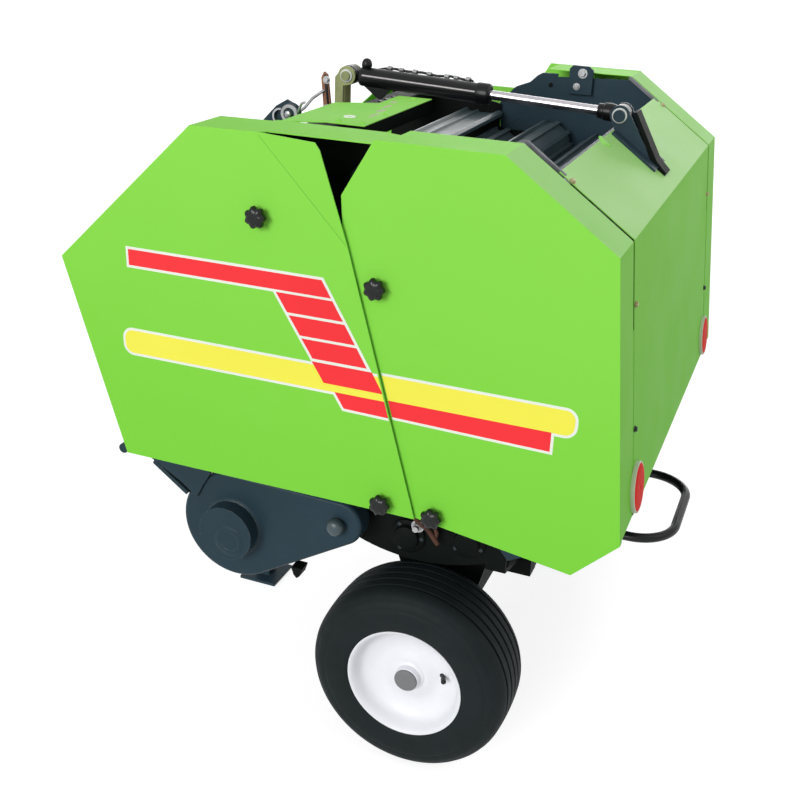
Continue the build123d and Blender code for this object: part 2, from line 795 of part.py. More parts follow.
# Half sections from the bead out to the tread: (in from the face, radius)
casing = ((bead_inset, bead_radius), (bead_inset, rim_flange_radius + 2), (0, 150), (4, tyre_radius - 22),
          (26, tyre_radius - 3), (tyre_width / 2 - 6, tyre_radius))
casing_air = ((bead_inset + 14, bead_radius), (bead_inset + 14, 122), (14, 152), (18, tyre_radius - 26),
              (34, tyre_radius - 18))
with BuildPart() as tyre:
    with BuildSketch(wheel_section()):
        with BuildLine():
            Polyline(*both_ways(casing), close=True)
        make_face()
        # air inside the casing, open to the rim
        with BuildLine():
            Polyline(*both_ways(casing_air), close=True)
        make_face(mode=Mode.SUBTRACT)
    revolve(axis=wheel_axis)
save_pair(tyre.part, "tyre")

# Rim sections: (in from the tyre's outer face, radius)
rim_barrel = ((rim_flange_inset, rim_flange_radius), (rim_flange_inset, bead_radius - rim_thickness),
              (46, bead_radius - 20), (120, bead_radius - 20),
              (tyre_width - rim_flange_inset, bead_radius - rim_thickness),
              (tyre_width - rim_flange_inset, rim_flange_radius),
              (tyre_width - rim_flange_inset - 4, rim_flange_radius),
              (tyre_width - rim_flange_inset - 4, bead_radius), (118, bead_radius - 15),
              (48, bead_radius - 15), (rim_flange_inset + 4, bead_radius),
              (rim_flange_inset + 4, rim_flange_radius))
rim_disc = ((44, bead_radius - 18), (rim_dish_depth, 56), (rim_dish_depth, hub_radius - 6),
            (rim_dish_depth + rim_thickness, hub_radius - 6), (rim_dish_depth + rim_thickness, 58),
            (52, bead_radius - 17))
with BuildPart() as rim:
    with BuildSketch(wheel_section()):
        for section in (rim_barrel, rim_disc):
            with BuildLine():
                Polyline(*[(tyre_outer_face - inset_y, radius) for inset_y, radius in section], close=True)
            make_face()
    revolve(axis=wheel_axis)
save_pair(rim.part, "rim")

# Hub: cap in front of the disc, flange and barrel behind it
hub_back_y = hub_face_y - rim_thickness
with BuildPart() as hub:
    with BuildSketch(wheel_section()):
        with BuildLine():
            Polyline((hub_face_y + hub_cap_height, 0), (hub_face_y + hub_cap_height, hub_cap_radius - 4),
                     (hub_face_y + hub_cap_height - 4, hub_cap_radius), (hub_face_y, hub_cap_radius),
                     (hub_face_y, hub_radius - 6), (hub_back_y, hub_radius - 6),
                     (hub_back_y, hub_radius + 10), (hub_back_y - 8, hub_radius + 10),
                     (hub_back_y - 8, hub_radius - 8), (hub_inner_y, hub_radius - 8),
                     (hub_inner_y, spindle_radius + running_clearance),
                     (spindle_end_y + 2, spindle_radius + running_clearance), (spindle_end_y + 2, 0),
                     close=True)
        make_face()
    revolve(axis=wheel_axis)
save_pair(hub.part, "hub")

# Pickup drive case: a teardrop with a round boss
case_inner_y = pickup_case_y - pickup_case_depth
with BuildPart() as pickup_case:
    with BuildSketch(side(pickup_case_y)):
        with BuildLine():
            CenterArc(reel_centre, case_big_radius, 0, 360)
            CenterArc(pickup_pivot, case_small_radius, 0, 360)
        make_hull()
    extrude(amount=pickup_case_depth)
    fillet(pickup_case.faces().sort_by(Axis.Y)[-1].edges(), case_edge_radius)
    with BuildSketch(side(pickup_case_y + case_boss_height)):
        with Locations(reel_centre):
            Circle(case_boss_radius)
    extrude(amount=case_boss_height + 5)
    with BuildSketch(side(pickup_case_y + 10)):
        with Locations(pickup_pivot):
            Circle(pivot_cap_radius)
    extrude(amount=12)
    with BuildSketch(side(case_inner_y + 10)):
        with Locations(pickup_pivot):
            Circle(pickup_pivot_radius + running_clearance)
    extrude(amount=pivot_socket_depth, mode=Mode.SUBTRACT)
save_pair(pickup_case.part, "pickup_case")

# Pickup arms: sloping plates ahead of the cases
arm_plate_outline = ((556, 545), (470, 482), (465, 489), (552, 553))
arm_plate_width = 70.0
with BuildPart() as pickup_arm:
    with BuildSketch(side(pickup_case_y + 6)):
        with BuildLine():
            Polyline(*arm_plate_outline, close=True)
        make_face()
        with Locations(reel_centre):
            Circle(case_big_radius + running_clearance, mode=Mode.SUBTRACT)
    extrude(amount=arm_plate_width)
    mirror(about=Plane.XZ)
save(pickup_arm.part, "pickup_arms")

# Pickup frame: a rear tube with the stripper bands bent round the reel
band_pitch = 2 * reel_half_width / (tines_per_bar + 1)
band_mouth = ((reel_centre[0], reel_centre[1]), (reel_centre[0] - 180, reel_centre[1] + 150),
              (reel_centre[0] - 180, reel_centre[1] - 14))
band_tail = ((rear_tube[0] - 4, rear_tube[1] - 11),
             (reel_centre[0] - band_radius + 1, reel_centre[1] - 14),
             (reel_centre[0] - band_radius + 3, reel_centre[1] - 24), (rear_tube[0], rear_tube[1] - 14))
with BuildPart() as pickup_bands:
    with BuildSketch(side(case_inner_y)):
        with Locations(rear_tube):
            Circle(rear_tube_radius)
    extrude(amount=2 * case_inner_y)
    for index in range(tines_per_bar + 1):
        band_y = -reel_half_width + band_pitch * (index + 0.5) + band_width / 2
        with BuildSketch(side(band_y)):
            with Locations(reel_centre):
                Circle(band_radius + band_thickness)
                Circle(band_radius, mode=Mode.SUBTRACT)
            with BuildLine():
                Polyline(*band_mouth, close=True)
            make_face(mode=Mode.SUBTRACT)
            with BuildLine():
                Polyline(*band_tail, close=True)
            make_face()
        extrude(amount=band_width)
save(pickup_bands.part, "pickup_bands")

# Pickup reel: tube, end discs, tine bars and tines
with BuildPart() as pickup_reel:
    with BuildSketch(side(case_inner_y)):
        with Locations(reel_centre):
            Circle(reel_tube_radius)
    extrude(amount=2 * case_inner_y)
    with BuildSketch(side(reel_half_width)):
        with Locations(reel_centre):
            with PolarLocations(reel_bar_circle, reel_bar_count):
                Circle(reel_bar_radius)
    extrude(amount=2 * reel_half_width)
    for disc_y in (reel_half_width, reel_disc_thickness, reel_disc_thickness - reel_half_width):
        with BuildSketch(side(disc_y)):
            with Locations(reel_centre):
                Circle(reel_disc_radius)
        extrude(amount=reel_disc_thickness)
    for index in range(tines_per_bar):
        tine_y = -reel_half_width + band_pitch * (index + 1)
        with BuildSketch(side(tine_y + tine_thickness / 2)):
            with Locations(reel_centre):
                with PolarLocations((reel_bar_circle + tine_tip_radius) / 2, reel_bar_count):
                    Rectangle(tine_tip_radius - reel_bar_circle, tine_thickness)
        extrude(amount=tine_thickness)
save(pickup_reel.part, "pickup_reel")

# Hitch frame: two arms inside the chamber plates, a crossbar and the lower link lugs
arm_start_x = 330.0
arm_length = 300.0
arm_width = 50.0
arm_height = 60.0
arm_z = 666.0
crossbar_x = arm_start_x + arm_length
lug_outline = ((610, 710), (660, 710), (hitch_pin_x + 26, hitch_pin_z + 30),
               (hitch_pin_x + 26, hitch_pin_z - 28), (hitch_pin_x - 26, hitch_pin_z - 28), (610, 610))
lug_outer_y = hitch_pin_y + lug_thickness / 2
with BuildPart() as hitch_frame:
    with BuildSketch(across(arm_start_x)):
        with Locations((frame_plate_inner - arm_width / 2, arm_z)):
            Rectangle(arm_width, arm_height)
    extrude(amount=arm_length)
    with BuildSketch(side(lug_outer_y)):
        with BuildLine():
            Polyline(*lug_outline, close=True)
        make_face()
    extrude(amount=lug_thickness)
    with BuildSketch(side(lug_outer_y + hitch_pin_length)):
        with Locations((hitch_pin_x, hitch_pin_z)):
            Circle(hitch_pin_radius)
    extrude(amount=hitch_pin_length)
    mirror(about=Plane.XZ)
    with BuildSketch(side(frame_plate_inner)):
        with Locations((crossbar_x, arm_z)):
            Rectangle(arm_height, arm_height)
    extrude(amount=2 * frame_plate_inner)
save(hitch_frame.part, "hitch_frame")

# Headstock: an upright portal with the top link's lugs
post_x = 650.0
post_y = 160.0
post_width = 50.0
post_foot_z = arm_z + arm_height / 2
top_pin_z = hitch_pin_z + mast_height
top_pin_x = hitch_pin_x + top_pin_forward
top_lug_y = 38.0
top_lug_half_height = 28.0
with BuildPart() as headstock:
    with BuildSketch(level(post_foot_z)):
        with Locations((post_x, post_y)):
            Rectangle(post_width, post_width)
    extrude(amount=top_pin_z + 20 - post_foot_z)
    mirror(about=Plane.XZ)
    with BuildSketch(side(post_y + post_width / 2)):
        with Locations((post_x, top_pin_z)):
            Rectangle(post_width, post_width)
    extrude(amount=2 * post_y + post_width)
    with BuildSketch(side(top_lug_y)):
        with BuildLine():
            Polyline((post_x + post_width / 2, top_pin_z + top_lug_half_height),
                     (post_x + post_width / 2, top_pin_z - top_lug_half_height),
                     (top_pin_x + 25, top_pin_z - 24), (top_pin_x + 25, top_pin_z + 24), close=True)
        make_face()
        with Locations((top_pin_x, top_pin_z)):
            Circle(top_pin_bore, mode=Mode.SUBTRACT)
    extrude(amount=lug_thickness)
    mirror(about=Plane.XZ)
save(headstock.part, "headstock")

# Gearbox with its input shaft
gearbox_front = gearbox_x + gearbox_size / 2
with BuildPart() as gearbox:
    with BuildSketch(side(gearbox_width / 2)):
        with Locations((gearbox_x, input_shaft_z)):
            RectangleRounded(gearbox_size, gearbox_size, 12)
    extrude(amount=gearbox_width)
    with BuildSketch(across(gearbox_front)):
        with Locations((0, input_shaft_z)):
            Circle(gearbox_snout_radius)
    extrude(amount=gearbox_snout_length)
save(gearbox.part, "gearbox")

shaft_start = gearbox_front + gearbox_snout_length
with BuildPart() as input_shaft:
    with BuildSketch(across(shaft_start)):
        with Locations((0, input_shaft_z)):
            Circle(input_shaft_radius)
            with PolarLocations(input_shaft_radius, 6):
                Rectangle(5, 8, mode=Mode.SUBTRACT)
    extrude(amount=front_reach - shaft_start)
save(input_shaft.part, "input_shaft")

# Parking stand
with BuildPart() as stand_tube:
    with BuildSketch(level(stand_tube_low)):
        with Locations((stand_x, 0)):
            RectangleRounded(stand_tube_width, stand_tube_width, tube_corner)
            Rectangle(stand_leg_width + 2, stand_leg_width + 2, mode=Mode.SUBTRACT)
    extrude(amount=stand_tube_height)
save(stand_tube.part, "stand_tube")

with BuildPart() as stand_leg:
    with BuildSketch(level(-datum_z)):
        with Locations((stand_x, 0)):
            Rectangle(stand_foot, stand_foot)
    extrude(amount=stand_foot_thickness)
    with BuildSketch(level(stand_foot_thickness - datum_z)):
        with Locations((stand_x, 0)):
            Rectangle(stand_leg_width, stand_leg_width)
    extrude(amount=stand_leg_top - stand_foot_thickness + datum_z)
save(stand_leg.part, "stand_leg")

# Reflectors on the rear face
rear_rise = gate_bend[1] - gate_bottom_rear[1]
rear_run = gate_bend[0] - gate_bottom_rear[0]
rear_lean = atan2(rear_rise, rear_run)
reflector_z = 672.0
reflector_y = 420.0
reflector_radius = 47.0
reflector_height = 10.0
reflector_x = gate_bottom_rear[0] + (reflector_z - gate_bottom_rear[1]) / rear_rise * rear_run
outward = Vector(-sin(rear_lean), 0, cos(rear_lean))
with BuildPart() as reflectors:
    for reflector_side in (1, -1):
        centre = place(reflector_x, reflector_side * reflector_y, reflector_z)
        with BuildSketch(Plane(origin=centre, x_dir=(0, 1, 0), z_dir=outward)):
            Circle(reflector_radius)
        extrude(amount=reflector_height)
save(reflectors.part, "reflectors")

# Rear hoop of bent tube on the rear cross beam
hoop_reach = hoop_radius - rear_reach
hoop_start = cross_x[1] - rail_width / 2
with BuildPart() as rear_hoop:
    with BuildLine() as path:
        FilletPolyline(place(hoop_start, hoop_half_width, hoop_z), place(hoop_reach, hoop_half_width, hoop_z),
                       place(hoop_reach, -hoop_half_width, hoop_z),
                       place(hoop_start, -hoop_half_width, hoop_z), radius=hoop_bend)
    with BuildSketch(Plane(origin=path.line @ 0, z_dir=path.line % 0)):
        Circle(hoop_radius)
    sweep()
    with BuildSketch(across(hoop_start - hoop_plate)):
        for hoop_side in (1, -1):
            with Locations((hoop_side * hoop_half_width, hoop_z - 8)):
                Rectangle(hoop_plate_width, hoop_plate_height)
    extrude(amount=hoop_plate)
save(rear_hoop.part, "rear_hoop")
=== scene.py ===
from math import cos, pi, radians, sin, tan

import bmesh
import bpy
from mathutils import Matrix, Vector


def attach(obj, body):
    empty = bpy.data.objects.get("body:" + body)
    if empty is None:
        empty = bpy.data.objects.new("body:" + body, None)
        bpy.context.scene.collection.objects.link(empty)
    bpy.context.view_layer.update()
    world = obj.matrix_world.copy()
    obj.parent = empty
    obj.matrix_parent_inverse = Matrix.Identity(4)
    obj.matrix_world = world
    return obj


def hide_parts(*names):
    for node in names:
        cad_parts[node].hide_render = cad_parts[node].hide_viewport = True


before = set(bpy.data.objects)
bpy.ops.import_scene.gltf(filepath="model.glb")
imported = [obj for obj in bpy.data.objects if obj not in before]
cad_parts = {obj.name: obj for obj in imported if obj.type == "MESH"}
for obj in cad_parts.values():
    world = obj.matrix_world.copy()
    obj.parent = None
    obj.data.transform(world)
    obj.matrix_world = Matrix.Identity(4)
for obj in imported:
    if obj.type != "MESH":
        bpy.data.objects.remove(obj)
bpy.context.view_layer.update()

# Places are millimetres forward, left and up from the part's datum
DATUM_X = -0.1525
DATUM_Z = 0.022
MM = 0.001
SIGNS = (1, -1)
SIDES = {1: "left", -1: "right"}
LEFT = Vector((0, 1, 0))
UP = Vector((0, 0, 1))
FORWARD = Vector((1, 0, 0))
# Outer faces beside the machine's middle plane, on the frame and on the tailgate
PLATE_FACE, GATE_PLATE_FACE = 430, 441
GATE_PLATE_INNER = 436
COVER_FACE, GATE_COVER_FACE = 560, 552
CASE_FACE = 499


def at(x, y, z):
    """A place in the row frame, in metres."""
    return Vector((DATUM_X + x * MM, y * MM, DATUM_Z + z * MM))


def new_object(name, data):
    """An object in the scene."""
    item = bpy.data.objects.new(name, data)
    bpy.context.collection.objects.link(item)
    return item


def both(name):
    """Names of the left and right nodes of a pair."""
    return f"{name}_left", f"{name}_right"


def run_between(start, end):
    """Unit vector between two (forward, up) places."""
    return Vector((end[0] - start[0], 0, end[1] - start[1])).normalized()


# Materials


def graph(owner):
    """Nodes and links of a material or of the world."""
    return owner.node_tree.nodes, owner.node_tree.links


def ramp(material, value, low, high, flipped=False):
    """Black to white between two levels of a socket, or white to black."""
    nodes, links = graph(material)
    node = nodes.new("ShaderNodeValToRGB")
    ends = node.color_ramp.elements
    ends[0].position = low
    ends[1].position = high
    if flipped:
        ends[0].color = (1, 1, 1, 1)
        ends[1].color = (0, 0, 0, 1)
    links.new(value, node.inputs["Fac"])
    return node.outputs["Color"]


def ranged(owner, value, low=0.0, high=1.0, to_low=0.0, to_high=1.0):
    """A socket's value moved from one range to another."""
    nodes, links = graph(owner)
    node = nodes.new("ShaderNodeMapRange")
    for name, number in (("From Min", low), ("From Max", high), ("To Min", to_low), ("To Max", to_high)):
        node.inputs[name].default_value = number
    links.new(value, node.inputs["Value"])
    return node.outputs["Result"]


def noise(material, scale, detail, roughness):
    """Noise in the object's own space."""
    nodes, links = graph(material)
    space = nodes.new("ShaderNodeTexCoord")
    texture = nodes.new("ShaderNodeTexNoise")
    for name, value in (("Scale", scale), ("Detail", detail), ("Roughness", roughness)):
        texture.inputs[name].default_value = value
    links.new(space.outputs["Object"], texture.inputs["Vector"])
    return texture.outputs["Fac"]


def mix_colour(material, factor, first, second):
    """Blends two colours or colour sockets by a factor socket."""
    nodes, links = graph(material)
    node = nodes.new("ShaderNodeMix")
    node.data_type = "RGBA"
    links.new(factor, node.inputs["Factor"])
    for socket, value in ((node.inputs["A"], first), (node.inputs["B"], second)):
        if isinstance(value, tuple):
            socket.default_value = (*value, 1)
        else:
            links.new(value, socket)
    return node.outputs["Result"]


def combined(owner, kind, operation, first, second):
    """A node that works on a socket and on a second socket or a fixed value."""
    nodes, links = graph(owner)
    node = nodes.new(kind)
    node.operation = operation
    links.new(first, node.inputs[0])
    if isinstance(second, (float, tuple)):
        node.inputs[1].default_value = second
    else:
        links.new(second, node.inputs[1])
    return node.outputs["Value"]


def times(material, first, second):
    """Product of a socket with a socket or a number."""
    return combined(material, "ShaderNodeMath", "MULTIPLY", first, second)


def dot_product(material, first, second):
    """Dot product of a vector socket with a socket or a fixed vector."""
    return combined(material, "ShaderNodeVectorMath", "DOT_PRODUCT", first, second)


def edge_mask(material, radius):
    """White along convex edges, where paint wears and catches light."""
    nodes, _ = graph(material)
    bevel = nodes.new("ShaderNodeBevel")
    bevel.samples = 4
    bevel.inputs["Radius"].default_value = radius
    geometry = nodes.new("ShaderNodeNewGeometry")
    straightness = dot_product(material, bevel.outputs["Normal"], geometry.outputs["Normal"])
    return ramp(material, straightness, 0.86, 0.97, flipped=True)


def painted_shade_by_height(material, colour, shaded_colour, low, high):
    """Another colour towards the bottom of the machine, used as painted shade that darkens the lower parts.
    """
    nodes, links = graph(material)
    space = nodes.new("ShaderNodeTexCoord")
    parts = nodes.new("ShaderNodeSeparateXYZ")
    links.new(space.outputs["Object"], parts.inputs["Vector"])
    return mix_colour(material, ranged(material, parts.outputs["Z"], low, high), shaded_colour, colour)


def painted_sheen_by_facing(material, colour, direction, sheen_colour):
    """A paler colour where the surface faces a direction of the part: painted sheen."""
    space = graph(material)[0].new("ShaderNodeTexCoord")
    share = ranged(material, dot_product(material, space.outputs["Normal"], direction), 0.90, 0.98)
    return mix_colour(material, share, colour, sheen_colour)


def edge_wear_and_highlight(material, colour, edge_colour, radius, strength):
    """Patchy wear along the convex edges, paler there partly as painted highlight."""
    chips = ramp(material, noise(material, 60.0, 5.0, 0.7), 0.42, 0.58)
    worn = times(material, edge_mask(material, radius), chips)
    return mix_colour(material, times(material, worn, strength), colour, edge_colour)


def dusted(material, colour, dust_colour, strength):
    """A broken film of dust."""
    cover = ramp(material, noise(material, 14.0, 8.0, 0.7), 0.45, 0.8)
    return mix_colour(material, times(material, cover, strength), colour, dust_colour)


def finish(name, base, roughness, metallic=0.0, coat=0.0, tone=None, tone_scale=6.0,
           grain=(300.0, 0.1), wear=None, dust=None, specular=0.5, rise=None, facing=None):
    """A painted, metal or rubber surface with drifting tone, fine grain, worn edges with a painted highlight,
    and dust.

    grain is (scale, strength), wear (colour, radius, strength), dust (colour, strength),
    rise (low colour, low, high) for painted shade darker towards the bottom and facing (direction, colour)
    for a painted sheen on faces turned that way.
    """
    material = bpy.data.materials.new(name)
    material.use_nodes = True
    nodes, links = graph(material)
    shader = nodes["Principled BSDF"]
    for socket, value in (("Metallic", metallic), ("Coat Weight", coat), ("Coat Roughness", 0.06),
                          ("Specular IOR Level", specular)):
        shader.inputs[socket].default_value = value
    drift = ramp(material, noise(material, tone_scale, 4.0, 0.55), 0.35, 0.68)
    colour = mix_colour(material, drift, base, tone or tuple(c * 0.88 for c in base))
    # Painted shade: the colour turns darker towards the bottom
    if rise:
        colour = painted_shade_by_height(material, colour, *rise)
    # Painted sheen: a paler colour on faces turned towards the given direction
    if facing:
        colour = painted_sheen_by_facing(material, colour, *facing)
    # Paler convex edges: partly wear, partly painted highlight
    if wear:
        colour = edge_wear_and_highlight(material, colour, *wear)
    if dust:
        colour = dusted(material, colour, *dust)
    links.new(colour, shader.inputs["Base Color"])
    gloss = noise(material, tone_scale * 5, 5.0, 0.6)
    spread = ranged(material, gloss, to_low=roughness * 0.8, to_high=min(1.0, roughness * 1.25))
    links.new(spread, shader.inputs["Roughness"])
    bump = nodes.new("ShaderNodeBump")
    bump.inputs["Strength"].default_value = grain[1]
    bump.inputs["Distance"].default_value = 0.0005
    links.new(noise(material, grain[0], 2.0, 0.5), bump.inputs["Height"])
    links.new(bump.outputs["Normal"], shader.inputs["Normal"])
    return material


STEEL_GREY = (0.42, 0.43, 0.44)
FIELD_DUST = (0.36, 0.33, 0.25)
# Green paint with painted shade darker towards the bottom (rise) and a paler painted sheen on faces turned
# like the tailgate's slope (facing)
green = finish("green_paint", (0.276, 0.75, 0.086), 0.5, tone=(0.260, 0.73, 0.078),
               tone_scale=1.8, grain=(260, 0.03), wear=((0.42, 0.78, 0.26), 0.0014, 0.5),
               dust=((0.40, 0.72, 0.22), 0.03), specular=0.05, rise=((0.205, 0.655, 0.052), 0.55, 1.2),
               facing=((-0.576, 0.0, 0.817), (0.40, 0.82, 0.235)))
# Paler green for the tailgate's slope: painted sheen, with a little dust
slope_sheen_green = finish("green_slope_painted_sheen", (0.42, 0.80, 0.255), 0.45, tone=(0.39, 0.77, 0.225),
                    tone_scale=1.6, grain=(260, 0.03), dust=((0.52, 0.78, 0.36), 0.08), specular=0.1)
# Darker green for the crease line: painted shade
green_shade = finish("green_crease_painted_shade", (0.20, 0.60, 0.055), 0.4, grain=(260, 0.03), specular=0.2)
slate = finish("slate_paint", (0.0215, 0.046, 0.065), 0.40, tone=(0.020, 0.040, 0.052),
               tone_scale=5, grain=(200, 0.06), wear=((0.16, 0.17, 0.15), 0.0014, 0.9),
               dust=(FIELD_DUST, 0.02), specular=0.12)
slate_steel = finish("slate_steel", (0.050, 0.080, 0.092), 0.36, coat=0.05,
                     tone=(0.030, 0.046, 0.054), tone_scale=7, grain=(160, 0.08),
                     wear=((0.16, 0.19, 0.19), 0.0016, 0.9), dust=(FIELD_DUST, 0.05), specular=0.4)
# Black paint for the chassis and the parts under and inside the machine, made near-black as painted shade
# where little light reaches
black_and_painted_shade = finish("black_chassis_paint_and_shade", (0.0025, 0.0042, 0.0032), 0.55, tone=(0.0040, 0.0062, 0.0052),
              tone_scale=9, grain=(160, 0.08), wear=((0.035, 0.040, 0.036), 0.0014, 0.7),
              dust=(FIELD_DUST, 0.006), specular=0.06)
black = finish("black_paint", (0.0040, 0.0042, 0.0045), 0.35, coat=0.08, tone=(0.006, 0.0065, 0.007),
               grain=(200, 0.04), wear=((0.10, 0.10, 0.10), 0.001, 0.5), specular=0.2)
black_plastic = finish("black_plastic", (0.0050, 0.0068, 0.0065), 0.26, coat=0.08,
                       tone=(0.007, 0.009, 0.0085), grain=(500, 0.05), dust=(FIELD_DUST, 0.01),
                       specular=0.25)
rubber = finish("tyre_rubber", (0.0105, 0.0155, 0.0170), 0.6, tone=(0.0078, 0.0120, 0.0125),
                tone_scale=9, grain=(340, 0.14), dust=((0.05, 0.055, 0.05), 0.05), specular=0.12)
white_paint = finish("white_enamel", (0.85, 0.86, 0.90), 0.38, coat=0.1, tone=(0.80, 0.81, 0.85),
                     tone_scale=7, grain=(240, 0.03), dust=((0.55, 0.53, 0.50), 0.05), specular=0.3)
zinc = finish("zinc", STEEL_GREY, 0.38, metallic=0.85, tone=(0.30, 0.30, 0.31), tone_scale=26,
              grain=(420, 0.12), wear=((0.6, 0.6, 0.6), 0.001, 0.6))
hub_zinc = finish("hub_zinc", (0.185, 0.19, 0.195), 0.48, metallic=0.25, tone=(0.16, 0.165, 0.17),
                  tone_scale=30, grain=(420, 0.10))
chrome = finish("chrome", (0.56, 0.54, 0.57), 0.2, metallic=1.0, tone=(0.50, 0.48, 0.51),
                tone_scale=20, grain=(800, 0.03))
brass_zinc = finish("yellow_zinc", (0.50, 0.42, 0.20), 0.45, metallic=0.5, tone=(0.34, 0.30, 0.18),
                    tone_scale=60, grain=(500, 0.1))
rust = finish("rusty_steel", (0.33, 0.135, 0.070), 0.62, metallic=0.05, tone=(0.20, 0.085, 0.045),
              tone_scale=45, grain=(150, 0.4), wear=((0.42, 0.26, 0.17), 0.0012, 0.8))
olive = finish("olive_paint", (0.30, 0.34, 0.13), 0.42, tone=(0.22, 0.25, 0.10), tone_scale=40,
               grain=(260, 0.15))
casting = finish("cast_iron", (0.020, 0.030, 0.036), 0.5, coat=0.05, tone=(0.014, 0.021, 0.026),
                 tone_scale=12, grain=(120, 0.3), wear=((0.10, 0.11, 0.11), 0.002, 0.7), specular=0.25)
bare_steel = finish("bare_steel", (0.62, 0.63, 0.63), 0.34, metallic=0.9, tone=(0.40, 0.40, 0.39),
                    tone_scale=70, grain=(500, 0.1))
red_lens = finish("red_lens", (0.93, 0.045, 0.034), 0.50, tone=(0.86, 0.036, 0.030),
                  tone_scale=80, grain=(650, 0.08), specular=0.02)
# Pale grey for the line along the barrel: painted highlight
painted_highlight_grey = finish("painted_highlight_grey", (0.40, 0.38, 0.38), 0.4, metallic=0.3, tone_scale=30, grain=(600, 0.05))
pin_face = finish("pin_face", (0.70, 0.72, 0.70), 0.5, metallic=0.1, tone=(0.52, 0.54, 0.52),
                  tone_scale=60, grain=(420, 0.08), specular=0.2)
edge_grey = finish("edge_grey", (0.20, 0.20, 0.225), 0.5, tone=(0.13, 0.14, 0.15), tone_scale=20,
                   specular=0.2)
dark_rust = finish("dark_rust", (0.105, 0.050, 0.034), 0.7, tone=(0.045, 0.024, 0.018), tone_scale=50,
                   grain=(150, 0.4), specular=0.15)
pale_rim = finish("pale_rim", (0.62, 0.66, 0.50), 0.45)
red_film = finish("red_film", (0.95, 0.032, 0.042), 0.36, coat=0.05, tone=(0.91, 0.028, 0.038),
                  tone_scale=3, grain=(300, 0.03), specular=0.25)
yellow_film = finish("yellow_film", (0.93, 0.88, 0.085), 0.36, coat=0.05, tone=(0.90, 0.85, 0.075),
                     tone_scale=3, grain=(300, 0.03), specular=0.25)
white_film = finish("white_film", (0.86, 0.90, 0.82), 0.36, coat=0.05, tone=(0.82, 0.87, 0.78),
                    grain=(300, 0.03), specular=0.25)
worn_paint = finish("worn_paint", (0.52, 0.42, 0.34), 0.5, tone=(0.30, 0.44, 0.16), tone_scale=90)

NODE_FINISHES = {
    green: (*both("front_cover"), *both("rear_cover"), "hood", "tailgate_sheet"),
    slate: (*both("tailgate_plate"), *both("pickup_case"), "tailgate_beams", "hitch_frame", "headstock",
            "stand_tube", "stand_leg", "pickup_arms", "rod_bracket", "twine_guide", "pickup_bands"),
    olive: ("cylinder_mount",),
    black_and_painted_shade: (*both("chamber_plate"), "frame_beams", "chassis", "plate_hangers", "axle",
           "front_cover_posts", "rear_cover_posts"),
    slate_steel: ("front_rollers", "tailgate_rollers", "pickup_reel"),
    black: ("cylinder_barrel", "rear_hoop"),
    black_plastic: ("front_cover_knobs", "rear_cover_knobs"),
    rubber: both("tyre"),
    white_paint: both("rim"),
    hub_zinc: both("hub"),
    chrome: ("cylinder_rod",),
    rust: ("hand_lever",),
    casting: ("gearbox",),
    bare_steel: ("input_shaft",),
    red_lens: ("reflectors",),
}
for material, names in NODE_FINISHES.items():
    for name in names:
        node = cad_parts[name]
        if not node.material_slots:
            node.data.materials.append(material)
        for place in node.material_slots:
            place.material = material

# Softened edges on folded sheet and plate
SOFTENED = {0.6: ("pickup_bands",),
            0.8: (*both("chamber_plate"), *both("tailgate_plate"), "plate_hangers", "cylinder_mount",
                  "twine_guide", "pickup_arms"),
            1.0: ("rod_bracket",),
            1.2: ("hood", "tailgate_sheet", "chassis", "hand_lever", "stand_leg"),
            1.4: (*both("front_cover"), *both("rear_cover")),
            1.5: ("hitch_frame", "headstock", "gearbox")}
MELT = 0.00002


def soften_edges(piece, width):
    """Small bevels on a piece's sharp edges."""
    bevel = piece.modifiers.new("bevel", "BEVEL")
    bevel.width = width * MM
    bevel.segments = 2
    bevel.limit_method = "ANGLE"
    bevel.angle_limit = radians(30)
    return bevel


for width, names in SOFTENED.items():
    for name in names:
        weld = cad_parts[name].modifiers.new("weld", "WELD")
        weld.merge_threshold = MELT
        soften_edges(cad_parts[name], width).harden_normals = True


# Mesh making


def square_to(direction):
    """Two unit vectors square to a direction and to each other."""
    helper = UP if abs(direction.z) < 0.9 else FORWARD
    first = helper.cross(direction).normalized()
    return first, direction.cross(first).normalized()


def arc_points(centre, radius, start, end, steps):
    """Points of an arc in a plane, with angles in degrees."""
    turns = [radians(start + (end - start) * i / steps) for i in range(steps + 1)]
    return [(centre[0] + radius * cos(t), centre[1] + radius * sin(t)) for t in turns]


